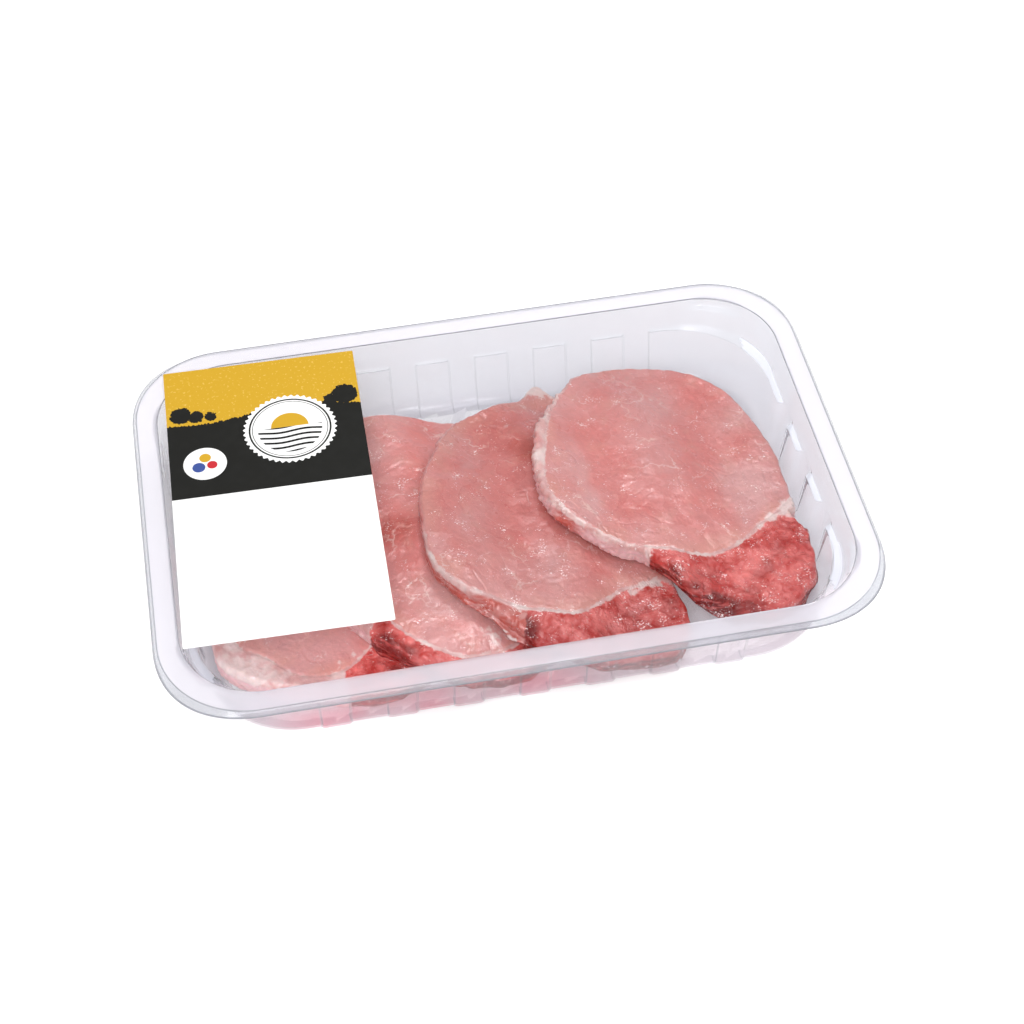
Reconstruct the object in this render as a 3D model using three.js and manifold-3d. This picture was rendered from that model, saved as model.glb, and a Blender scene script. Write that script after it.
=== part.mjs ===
// Meat tray pack: a clear thermoformed tray with fluted walls, sealed by a flat
// film with a label, holding four pork loin cutlets laid one half over the other.
// Units are millimetres, +X along the tray, +Y to its back, +Z up, origin under the
// middle of the floor.

import * as THREE from 'three';
import { mergeVertices } from 'three/addons/utils/BufferGeometryUtils.js';
import Module from 'manifold-3d';

const wasm = await Module();
wasm.setup();

// Driving dimensions of the tray
const FLANGE = { length: 255, width: 173.7, radius: 33, top: 34.5 };
const LAND = 7.8; // width of the flat sealing land
const MOUTH_RADIUS = 28; // corner radius of the opening inside the land
const SHEET = 0.8; // thickness of the tray's wall and floor
const LIP_DROP = 2; // the rim's outer lip turns down by this
const LIP_REACH = 1.5; // and stands out by this along the sides
const LIP_TAB = 1.2; // and by this much more at the corners
const LEDGE_TOP = 22.6; // height where the upper wall band ends
const LEDGE_BOTTOM = 22;
const FOOT = { halfX: 113, halfY: 73.5, radius: 33 }; // inside of the wall just over the floor
const FILLET = 3; // radius between floor and wall
const FLUTE = { long: 11.7, end: 13.6, ramp: 1.8, foot: 1.1 }; // widths, and the depth at the floor
const LONG_FLUTES = { count: 7, pitch: 23.5, middle: 0 };
const END_FLUTES = { count: 3, pitch: 25.9, middle: -3.8 };
const LUG = { low: 29.7, floor: 30.2, top: 33.4, depth: 1.7 }; // pockets that keep stacked trays apart
const CORNER_STEP = 10; // degrees between stations round a corner

// Driving dimensions of the film and the label
const CLEARANCE = 0.25; // between the flange, the film and the label
const FILM = { thickness: 0.25, inset: 0.4 };
const LABEL = { x: -80.5, y: 9.6, width: 73, height: 134.5, corner: 0.5, turn: -1.3, thickness: 0.25 };

// Driving dimensions of the cutlets
const CUT = { thickness: 10.4, edge: 4.6, shoulder: 0.45, gap: 0.4 };
const DRAPE = { out: 28, in: 4 }; // a cutlet sinks to the floor over this reach past the one under it
const SEAM_BAND = 2.4; // width of the fat between the eye and the tail muscle
const PARTING = 0.3; // gap left between neighbouring muscles
const SECTORS = 40;
const RINGS = [0.26, 0.48, 0.68, 0.84, 0.945];
const STEP = 15; // degrees between the radii that give an outline

// Each outline is a radius every 15 degrees from +X round by +Y. rim holds the fat's
// widths and seam the radii of the eye's front edge, each from its own first angle on.
// tail is the pair of angles between which the tail muscle lies, and nub a small
// point of fat on the outline.
const CUTLETS = [
  {
    name: 'cutlet_1', x: -66, y: -4,
    outline: [45, 46, 49, 54, 60, 62, 61, 62, 58, 52, 47, 44, 43, 45, 51, 59.5, 61, 61, 64, 67, 67, 62, 54, 48],
    rim: { from: 105, widths: [2, 3, 4, 4, 4, 4, 5, 8] },
    seam: { from: 225, radii: [49.5, 50, 55, 54, 46.5, 43, 50, 60] },
    tail: [278, 322],
  },
  {
    name: 'cutlet_2', x: -27, y: -4,
    outline: [46, 48, 52, 57, 62, 60, 60, 60, 60, 57, 53, 50, 49, 48, 47, 50, 55, 62, 67, 69, 70, 63, 54, 49],
    rim: { from: 105, widths: [1.5, 1.5, 1.5, 1.5, 1.5, 1.5, 1.5, 1.5, 2.2] },
    seam: { from: 240, radii: [45, 52.8, 60.3, 60.5, 57.5, 56, 58, 62] },
    tail: [240, 318],
  },
  {
    name: 'cutlet_3', x: 18, y: -5,
    outline: [46, 47.5, 51.5, 57, 62, 66, 61, 55.3, 54, 48.8, 45.6, 46.5, 47.4, 49.4, 54.3, 56, 55, 61, 66, 69, 74, 56, 46, 44],
    rim: { from: 75, widths: [1.2, 1.2, 1.2, 1.2, 1.2, 1.2, 1.2, 1.2, 1.2, 1.3, 1.6] },
    seam: { from: 240, radii: [50, 49.2, 50.3, 45, 42.4, 48.5, 56, 60] },
    tail: [252, 315],
    nub: { at: 83, half: 5, reach: 7 },
  },
  {
    name: 'cutlet_4', x: 64, y: -2,
    outline: [46.8, 48.8, 52, 58.2, 65.4, 69.3, 71.2, 67.6, 61, 54.5, 51.5, 49.5, 48.5, 46.7, 42, 38, 35.3, 39.5, 51, 59.5, 66, 64.5, 54.8, 49.2],
    rim: { from: 105, widths: [1.2, 2, 3, 5, 4.8, 3.3, 2.4, 1.5, 1.8, 1.6] },
    seam: { from: 255, radii: [32.6, 32.6, 32.7, 32.8, 34.2, 36.8, 44, 60] },
    tail: [247, 338],
  },
];
const PAST_EDGE = 6; // how far a cutting outline runs past a cutlet's edge

// Colours and finishes
const LOOKS = {
  tray: { color: 0xe8e6ee, roughness: 0.18, metalness: 0, transparent: true, opacity: 0.45 },
  film: { color: 0xf6f6fa, roughness: 0.06, metalness: 0, transparent: true, opacity: 0.15 },
  label: { color: 0xf4f4f2, roughness: 0.45, metalness: 0 },
  eye: { color: 0xde8c84, roughness: 0.38, metalness: 0 },
  fat: { color: 0xf0dccb, roughness: 0.42, metalness: 0 },
  tail: { color: 0xc8504c, roughness: 0.36, metalness: 0 },
};

const radians = THREE.MathUtils.degToRad;
const smoothstep = THREE.MathUtils.smoothstep;
const clamp = THREE.MathUtils.clamp;

// Meshes from rows of points

function surface(points, faces) {
  const geometry = new THREE.BufferGeometry();
  geometry.setAttribute('position', new THREE.Float32BufferAttribute(points.flat(), 3));
  geometry.setIndex(faces.flat());
  geometry.computeVertexNormals();
  return geometry;
}

// A closed skin over rings of equally many points, from a first pole to a last one.
function skin(firstPole, rings, lastPole) {
  const count = rings[0].length;
  const points = [firstPole, ...rings.flat(), lastPole];
  const faces = [];
  const last = points.length - 1;
  for (let j = 0; j < count; j += 1) {
    const next = (j + 1) % count;
    faces.push([0, 1 + j, 1 + next]);
    for (let i = 0; i + 1 < rings.length; i += 1) {
      const a = 1 + i * count;
      const b = a + count;
      faces.push([a + j, b + j, b + next]);
      faces.push([a + j, b + next, a + next]);
    }
    const end = 1 + (rings.length - 1) * count;
    faces.push([last, end + next, end + j]);
  }
  return surface(points, faces);
}

function roundedRectangle(halfX, halfY, radius) {
  const shape = new THREE.Shape();
  const x = halfX - radius;
  const y = halfY - radius;
  shape.absarc(x, y, radius, 0, Math.PI / 2);
  shape.absarc(-x, y, radius, Math.PI / 2, Math.PI);
  shape.absarc(-x, -y, radius, Math.PI, 1.5 * Math.PI);
  shape.absarc(x, -y, radius, 1.5 * Math.PI, 2 * Math.PI);
  return shape;
}

function plate(shape, bottom, thickness, curveSegments) {
  const geometry = new THREE.ExtrudeGeometry(shape, { depth: thickness, bevelEnabled: false, curveSegments });
  geometry.translate(0, 0, bottom);
  return geometry;
}

// The tray's outline as stations. A straight station has a place along its side, and
// a corner station an angle, so every row of the wall has the same stations.

function fluteStations(middle, pitch, count, width) {
  const half = width / 2;
  const list = [];
  for (let i = 0; i < count; i += 1) {
    const centre = middle + (i - (count - 1) / 2) * pitch;
    list.push({ at: centre - half, flute: 0 });
    list.push({ at: centre - half + FLUTE.ramp, flute: 1 });
    list.push({ at: centre + half - FLUTE.ramp, flute: 1 });
    list.push({ at: centre + half, flute: 0 });
  }
  return list;
}

// The stretch of each corner that its lug takes up, in degrees from the corner's start.
const LUG_ARCS = [[45, 85], [65, 95], [5, 45], [55, 85]];

function cornerStations(quarter) {
  const list = [];
  for (let angle = 0; angle <= 90; angle += CORNER_STEP) {
    const [from, to] = LUG_ARCS[quarter];
    const lug = angle > from && angle < to ? 1 : 0;
    const tab = Math.sin(radians(2 * angle)) ** 2;
    list.push({ corner: quarter, turn: quarter * 90 + angle, tab, flute: 0, lug });
  }
  return list;
}

function trayStations() {
  const { long, end } = FLUTE;
  const across = fluteStations(END_FLUTES.middle, END_FLUTES.pitch, END_FLUTES.count, end);
  const along = fluteStations(LONG_FLUTES.middle, LONG_FLUTES.pitch, LONG_FLUTES.count, long);
  const straight = (side, list) => list.map((s) => ({ side, lug: 0, tab: 0, ...s }));
  return [
    ...straight('right', across), ...cornerStations(0),
    ...straight('back', along.slice().reverse()), ...cornerStations(1),
    ...straight('left', across.slice().reverse()), ...cornerStations(2),
    ...straight('front', along), ...cornerStations(3),
  ];
}

const STATIONS = trayStations();
const SIDE_NORMALS = { right: [1, 0], back: [0, 1], left: [-1, 0], front: [0, -1] };
const CORNER_SIGNS = [[1, 1], [-1, 1], [-1, -1], [1, -1]];

// One ring of the wall. head and foot say how much of the flutes' depth at the ledge
// and at the floor the row has, lug and tab how much of those two.
function trayRing({ halfX, halfY, radius, z, head = 0, foot = 0, lug = 0, tab = 0 }, outward = 0) {
  return STATIONS.map((s) => {
    const isEnd = s.side === 'right' || s.side === 'left';
    const step = isEnd ? UPPER.halfX - LOWER.halfX : UPPER.halfY - LOWER.halfY;
    const flute = s.flute * (head * step + foot * FLUTE.foot);
    const out = outward + flute + s.lug * lug * LUG.depth + s.tab * tab * LIP_TAB;
    let normal = SIDE_NORMALS[s.side];
    let x = s.at;
    let y = s.at;
    if (s.side) {
      if (isEnd) x = normal[0] * halfX;
      else y = normal[1] * halfY;
    } else {
      normal = [Math.cos(radians(s.turn)), Math.sin(radians(s.turn))];
      const [signX, signY] = CORNER_SIGNS[s.corner];
      x = signX * (halfX - radius) + normal[0] * radius;
      y = signY * (halfY - radius) + normal[1] * radius;
    }
    return [x + normal[0] * out, y + normal[1] * out, z];
  });
}

const MOUTH = { halfX: FLANGE.length / 2 - LAND, halfY: FLANGE.width / 2 - LAND, radius: MOUTH_RADIUS };
const EDGE = { halfX: FLANGE.length / 2, halfY: FLANGE.width / 2, radius: FLANGE.radius };
const UPPER = { halfX: 117.4, halfY: 77.4, radius: 32.5 }; // foot of the upper band
const LOWER = { halfX: 115, halfY: 76.2, radius: 35.5 }; // head of the lower wall, inside the ledge

function between(a, b, t) {
  return {
    halfX: THREE.MathUtils.lerp(a.halfX, b.halfX, t),
    halfY: THREE.MathUtils.lerp(a.halfY, b.halfY, t),
    radius: THREE.MathUtils.lerp(a.radius, b.radius, t),
  };
}

function upperBand(z) {
  return { ...between(UPPER, MOUTH, (z - LEDGE_TOP) / (FLANGE.top - LEDGE_TOP)), z };
}

// The fillet's row at an angle from the floor, with 90 degrees where the wall begins.
function filletRow([angle, foot], radius, floor) {
  const inset = FILLET - FILLET * Math.sin(radians(angle));
  return {
    halfX: FOOT.halfX - inset, halfY: FOOT.halfY - inset, radius: FOOT.radius - inset,
    z: floor + radius - radius * Math.cos(radians(angle)), foot,
  };
}

function buildTray() {
  const fillet = [[0, 0.6], [45, 0.85], [90, 1]];
  const inside = [
    ...fillet.map((row) => filletRow(row, FILLET, SHEET)),
    { ...LOWER, z: LEDGE_BOTTOM, head: 1 },
    { ...UPPER, z: LEDGE_TOP },
    upperBand(LUG.low),
    { ...upperBand(LUG.floor), lug: 1 },
    { ...upperBand(LUG.top), lug: 0.8 },
    { ...MOUTH, z: FLANGE.top },
    { ...EDGE, z: FLANGE.top },
  ];
  const lipFoot = FLANGE.top - LIP_DROP;
  const under = FLANGE.top - SHEET;
  const outside = [
    { ...EDGE, z: under },
    { ...MOUTH, z: under },
    { ...upperBand(LUG.top - SHEET), lug: 0.8 },
    { ...upperBand(LUG.floor - SHEET), lug: 1 },
    upperBand(LUG.low - SHEET),
    { ...UPPER, z: LEDGE_TOP - SHEET },
    { ...LOWER, z: LEDGE_BOTTOM - SHEET, head: 1 },
    ...fillet.map((row) => filletRow(row, FILLET + SHEET, 0)).reverse(),
  ];
  const rings = [
    ...inside.map((row) => trayRing(row)),
    trayRing({ ...EDGE, z: lipFoot, tab: 1 }, LIP_REACH),
    trayRing({ ...EDGE, z: lipFoot, tab: 1 }, LIP_REACH - SHEET),
    trayRing(outside[0], -SHEET / 2),
    ...outside.slice(1).map((row, i) => trayRing(row, i + 2 === outside.length ? 0 : SHEET)),
  ];
  return skin([0, 0, SHEET], rings, [0, 0, 0]);
}

function buildFilm() {
  const { length, width, radius } = FLANGE;
  const shape = roundedRectangle(length / 2 - FILM.inset, width / 2 - FILM.inset, radius - FILM.inset);
  return plate(shape, FLANGE.top + CLEARANCE, FILM.thickness, 9);
}

function buildLabel() {
  const shape = roundedRectangle(LABEL.width / 2, LABEL.height / 2, LABEL.corner);
  const geometry = plate(shape, FLANGE.top + 2 * CLEARANCE + FILM.thickness, LABEL.thickness, 3);
  geometry.rotateZ(radians(LABEL.turn));
  geometry.translate(LABEL.x, LABEL.y, 0);
  return geometry;
}

// Heights under the cutlets

// The inside of the tray as a height: the floor, rising along the fillet to the wall.
function trayHeight(x, y) {
  const overX = Math.abs(x) - (FOOT.halfX - FOOT.radius);
  const overY = Math.abs(y) - (FOOT.halfY - FOOT.radius);
  const corner = Math.hypot(Math.max(overX, 0), Math.max(overY, 0));
  const inside = FOOT.radius - corner - Math.min(Math.max(overX, overY), 0);
  const into = clamp(FILLET - inside, 0, FILLET);
  return SHEET + FILLET - Math.sqrt(FILLET ** 2 - into ** 2);
}

// A smooth closed curve through radii that are spaced evenly round a turn.
function radiusAt(radii, angle) {
  const count = radii.length;
  const place = (((angle / STEP) % count) + count) % count;
  const i = Math.floor(place);
  const t = place - i;
  const [a, b, c, d] = [-1, 0, 1, 2].map((k) => radii[(i + k + count) % count]);
  const bend = 2 * a - 5 * b + 4 * c - d;
  return b + 0.5 * t * (c - a + t * (bend + t * (3 * (b - c) + d - a)));
}

function polar(cutlet, x, y) {
  const angle = THREE.MathUtils.radToDeg(Math.atan2(y - cutlet.y, x - cutlet.x));
  return { angle, radius: Math.hypot(x - cutlet.x, y - cutlet.y) };
}

function depthInside(cutlet, x, y) {
  const { angle, radius } = polar(cutlet, x, y);
  return radiusAt(cutlet.outline, angle) - radius;
}

// Height of a cutlet's underside: the floor, or the cutlet before it, with a soft
// slope from one to the other.
function undersideHeight(index, x, y) {
  const floor = trayHeight(x, y) + CUT.gap;
  if (index === 0) return floor;
  const carried = undersideHeight(index - 1, x, y) + CUT.thickness + CUT.gap;
  const weight = smoothstep(depthInside(CUTLETS[index - 1], x, y), -DRAPE.out, DRAPE.in);
  return floor + weight * (carried - floor);
}

// Low swells of the cut surface.
function swell(index, x, y) {
  const phase = 1.7 * index;
  return 0.35 * Math.sin(x / 8.5 + phase) * Math.cos(y / 10.5 - phase) - 0.35;
}

function cutletPoint(index, angle, fraction, isTop) {
  const cutlet = CUTLETS[index];
  const edgeRadius = radiusAt(cutlet.outline, angle);
  const radius = edgeRadius * fraction;
  const x = cutlet.x + radius * Math.cos(radians(angle));
  const y = cutlet.y + radius * Math.sin(radians(angle));
  const rise = clamp((edgeRadius - radius) / CUT.edge, 0, 1);
  const full = Math.sqrt(1 - (1 - rise) ** 2);
  const base = undersideHeight(index, x, y);
  if (!isTop) return [x, y, base + CUT.shoulder * CUT.thickness * (1 - full)];
  const height = CUT.shoulder + (1 - CUT.shoulder) * full;
  return [x, y, base + height * CUT.thickness + full * swell(index, x, y)];
}

// The angles of a ring's points, with three of them moved to where the nub needs them.
function ringAngles({ nub }) {
  const angles = Array.from({ length: SECTORS }, (_, j) => (360 * j) / SECTORS);
  if (nub) {
    const middle = Math.round((nub.at * SECTORS) / 360);
    [-1, 0, 1].forEach((side) => {
      angles[middle + side] = nub.at + side * nub.half;
    });
  }
  return angles;
}

function cutletSkin(index) {
  const { nub } = CUTLETS[index];
  const angles = ringAngles(CUTLETS[index]);
  const ring = (fraction, isTop) => angles.map((angle) => cutletPoint(index, angle, fraction, isTop));
  const edge = ring(1, true);
  if (nub) {
    const tip = edge[angles.indexOf(nub.at)];
    tip[0] += nub.reach * Math.cos(radians(nub.at));
    tip[1] += nub.reach * Math.sin(radians(nub.at));
  }
  const rings = [
    ...RINGS.map((fraction) => ring(fraction, true)),
    edge,
    ...RINGS.slice().reverse().map((fraction) => ring(fraction, false)),
  ];
  return skin(cutletPoint(index, 0, 0, true), rings, cutletPoint(index, 0, 0, false));
}

// Solids that are cut from one another

function toSolid(source) {
  const bare = source.clone();
  bare.deleteAttribute('normal');
  bare.deleteAttribute('uv');
  const merged = mergeVertices(bare, 1e-5);
  const vertProperties = new Float32Array(merged.getAttribute('position').array);
  const triVerts = new Uint32Array(merged.getIndex().array);
  return new wasm.Manifold(new wasm.Mesh({ numProp: 3, vertProperties, triVerts }));
}

function toGeometry(solid) {
  const mesh = solid.getMesh();
  const geometry = new THREE.BufferGeometry();
  geometry.setAttribute('position', new THREE.BufferAttribute(mesh.vertProperties, 3));
  geometry.setIndex(new THREE.BufferAttribute(mesh.triVerts, 1));
  geometry.computeVertexNormals();
  return geometry;
}

const CUTTER = { bottom: -5, height: 60 };

function cutter(cutlet, polarPoints) {
  const points = polarPoints.map(([angle, radius]) => {
    const x = cutlet.x + radius * Math.cos(radians(angle));
    return new THREE.Vector2(x, cutlet.y + radius * Math.sin(radians(angle)));
  });
  return toSolid(plate(new THREE.Shape(points), CUTTER.bottom, CUTTER.height, 1));
}

// The eye muscle's radius at each of the outline's angles.
function eyeRadii(cutlet) {
  return cutlet.outline.map((radius, i) => {
    const angle = i * STEP;
    const seamPlace = (angle - cutlet.seam.from) / STEP;
    if (seamPlace >= 0 && seamPlace < cutlet.seam.radii.length) return cutlet.seam.radii[seamPlace];
    const rimPlace = (angle - cutlet.rim.from) / STEP;
    if (rimPlace >= 0 && rimPlace < cutlet.rim.widths.length) return radius - cutlet.rim.widths[rimPlace];
    return radius + PAST_EDGE;
  });
}

function eyeCutter(cutlet, grow) {
  const radii = eyeRadii(cutlet);
  const angles = Array.from({ length: 2 * radii.length }, (_, i) => (i * STEP) / 2);
  return cutter(cutlet, angles.map((angle) => [angle, radiusAt(radii, angle) + grow]));
}

function tailCutter(cutlet, grow) {
  const radii = eyeRadii(cutlet);
  const [from, to] = cutlet.tail;
  const steps = 9;
  const inner = Array.from({ length: steps }, (_, i) => {
    const angle = from + ((to - from) * i) / (steps - 1);
    return [angle, radiusAt(radii, angle) + SEAM_BAND - grow];
  });
  const far = 100;
  const lean = grow / 0.8; // the ends move out by about the same gap, in degrees at the rim
  inner[0][0] -= lean;
  inner[steps - 1][0] += lean;
  const middle = (from + to) / 2;
  return cutter(cutlet, [...inner, [to + lean, far], [middle, far], [from - lean, far]]);
}

function buildCutlets() {
  const pieces = [];
  let under = null;
  CUTLETS.forEach((cutlet, index) => {
    let slab = toSolid(cutletSkin(index));
    if (under) slab = slab.subtract(under.translate([0, 0, PARTING]));
    under = slab;
    const eye = slab.intersect(eyeCutter(cutlet, 0));
    const tail = slab.intersect(tailCutter(cutlet, 0));
    const fat = slab.subtract(eyeCutter(cutlet, PARTING)).subtract(tailCutter(cutlet, PARTING));
    pieces.push([`${cutlet.name}_eye`, toGeometry(eye), 'eye']);
    pieces.push([`${cutlet.name}_fat`, toGeometry(fat), 'fat']);
    pieces.push([`${cutlet.name}_tail`, toGeometry(tail), 'tail']);
  });
  return pieces;
}

function addPart(group, name, geometry, look) {
  const mesh = new THREE.Mesh(geometry, new THREE.MeshStandardMaterial(LOOKS[look]));
  mesh.name = name;
  group.add(mesh);
}

const pack = new THREE.Group();
addPart(pack, 'tray', buildTray(), 'tray');
for (const [name, geometry, look] of buildCutlets()) addPart(pack, name, geometry, look);
addPart(pack, 'lid_film', buildFilm(), 'film');
addPart(pack, 'label', buildLabel(), 'label');

export default pack;
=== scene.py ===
"""Looks of the meat tray pack.

A clear fluted tray holds four pork loin cutlets, laid one half over the other. A
clear film seals it and carries a printed label. Lengths in the plans are
millimetres in the pack's own frame: +X along the tray, +Y to its back, +Z up.
"""

from __future__ import annotations

import logging
import math
from dataclasses import dataclass, field
from enum import Enum
from typing import Any, NamedTuple

import bmesh
import bpy
import numpy as np
from mathutils import Matrix, Vector


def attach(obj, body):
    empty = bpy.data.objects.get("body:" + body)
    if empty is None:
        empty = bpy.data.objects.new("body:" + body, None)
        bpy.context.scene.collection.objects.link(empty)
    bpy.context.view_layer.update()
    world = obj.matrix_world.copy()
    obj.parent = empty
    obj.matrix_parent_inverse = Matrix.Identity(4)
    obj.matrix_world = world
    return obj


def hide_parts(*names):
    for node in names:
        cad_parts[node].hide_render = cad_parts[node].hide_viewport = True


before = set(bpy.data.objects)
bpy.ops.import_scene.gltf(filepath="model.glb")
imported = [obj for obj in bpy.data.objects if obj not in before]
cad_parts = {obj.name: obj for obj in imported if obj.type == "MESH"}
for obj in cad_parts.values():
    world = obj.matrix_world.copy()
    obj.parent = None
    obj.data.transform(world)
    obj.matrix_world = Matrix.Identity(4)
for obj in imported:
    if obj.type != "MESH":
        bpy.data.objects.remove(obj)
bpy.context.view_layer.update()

LOG = logging.getLogger("meat_tray_pack")
MM = 0.001

Array = np.ndarray
Colour = tuple[float, float, float, float]
Pair = tuple[float, float]
Triple = tuple[float, float, float]
Socket = bpy.types.NodeSocket
Feed = Any  # a node's output socket, or the plain value of an input


class Ramp(NamedTuple):
    """A fade from start at low to end at high."""

    low: float
    high: float
    start: float = 0.0
    end: float = 1.0


class Cloud(NamedTuple):
    """A cloudy noise: cells in a metre, number of finer layers, and push."""

    scale: float
    detail: float = 2.0
    warp: float = 0.0


# ---------------------------------------------------------------- arithmetic


def smooth(value: Array, low: float, high: float) -> Array:
    """Fade from 0 at low to 1 at high with level ends.

    Args:
        value: Numbers to fade.
        low: Where the fade starts.
        high: Where it ends.

    Returns:
        Numbers from 0 to 1, shaped as value.
    """
    t = np.clip((value - low) / (high - low), 0.0, 1.0)
    return t * t * (3.0 - 2.0 * t)


def window(value: Array, low: float, high: float, soft: float) -> Array:
    """Give 1 between low and high and 0 beyond, with soft ends.

    Args:
        value: Numbers to test.
        low: Where the window opens.
        high: Where it closes.
        soft: Half the width of each end.

    Returns:
        Numbers from 0 to 1, shaped as value.
    """
    opened = smooth(value, low - soft, low + soft)
    return opened * (1 - smooth(value, high - soft, high + soft))


def turned(angle: Array, middle: float) -> Array:
    """Give angles from a middle one, in degrees from -180 to 180."""
    return (angle - middle + 180) % 360 - 180


class Layer(NamedTuple):
    """One layer of relief: its height, its level in the noise and its size."""

    height: float
    level: float
    size: float


def shade(red: int, green: int, blue: int) -> Colour:
    """Turn a colour given as 0 to 255 on a screen into the shader's linear one.

    Args:
        red: Red as shown on a screen.
        green: Green as shown on a screen.
        blue: Blue as shown on a screen.

    Returns:
        Linear red, green, blue and 1.
    """
    parts = [c / 255.0 for c in (red, green, blue)]
    linear = [c / 12.92 if c <= 0.04045 else ((c + 0.055) / 1.055) ** 2.4 for c in parts]
    return (linear[0], linear[1], linear[2], 1.0)


class SmoothNoise:
    """Seeded gradient noise that is read at arrays of points."""

    CELLS = 256
    REACH = 1.7  # brings the values to about -1 to 1

    def __init__(self, seed: int) -> None:
        """Draw the lattice.

        Args:
            seed: Seed of the draw.
        """
        draw = np.random.default_rng(seed)
        self.order = draw.permutation(self.CELLS)
        slopes = draw.normal(size=(self.CELLS, 3))
        self.slopes = slopes / np.linalg.norm(slopes, axis=1, keepdims=True)

    def at(self, x: Array, y: Array, z: Array | float, size: float) -> Array:
        """Read the noise at points.

        Args:
            x: First coordinate.
            y: Second coordinate.
            z: Third coordinate.
            size: Length of one lattice cell, in the coordinates' unit.

        Returns:
            Values from about -1 to 1, one for each point.
        """
        points = np.stack(np.broadcast_arrays(x, y, z)).astype(float) / size
        cell = np.floor(points).astype(int)
        t = points - cell
        fade = t * t * t * (t * (t * 6 - 15) + 10)
        total = np.zeros(points.shape[1])
        for corner in range(8):
            step = [(corner >> k) & 1 for k in range(3)]
            key = np.zeros(points.shape[1], dtype=int)
            for k in range(3):
                key = self.order[(key + cell[k] + step[k]) % self.CELLS]
            slope = self.slopes[key]
            reach = sum(slope[:, k] * (t[k] - step[k]) for k in range(3))
            weight = 1.0
            for k in range(3):
                weight = weight * (fade[k] if step[k] else 1.0 - fade[k])
            total += weight * reach
        return self.REACH * total

    def layers(
        self, x: Array, y: Array, layers: tuple[Layer, ...], height: Array | float = 1.0
    ) -> Array:
        """Add up layers of relief.

        Args:
            x: Places along X.
            y: Places along Y.
            layers: The layers.
            height: What each layer's level is multiplied by.

        Returns:
            Heights.
        """
        return sum(
            layer.height * self.at(x, y, layer.level * height, layer.size) for layer in layers
        )


# ---------------------------------------------------------------- node graphs


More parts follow.
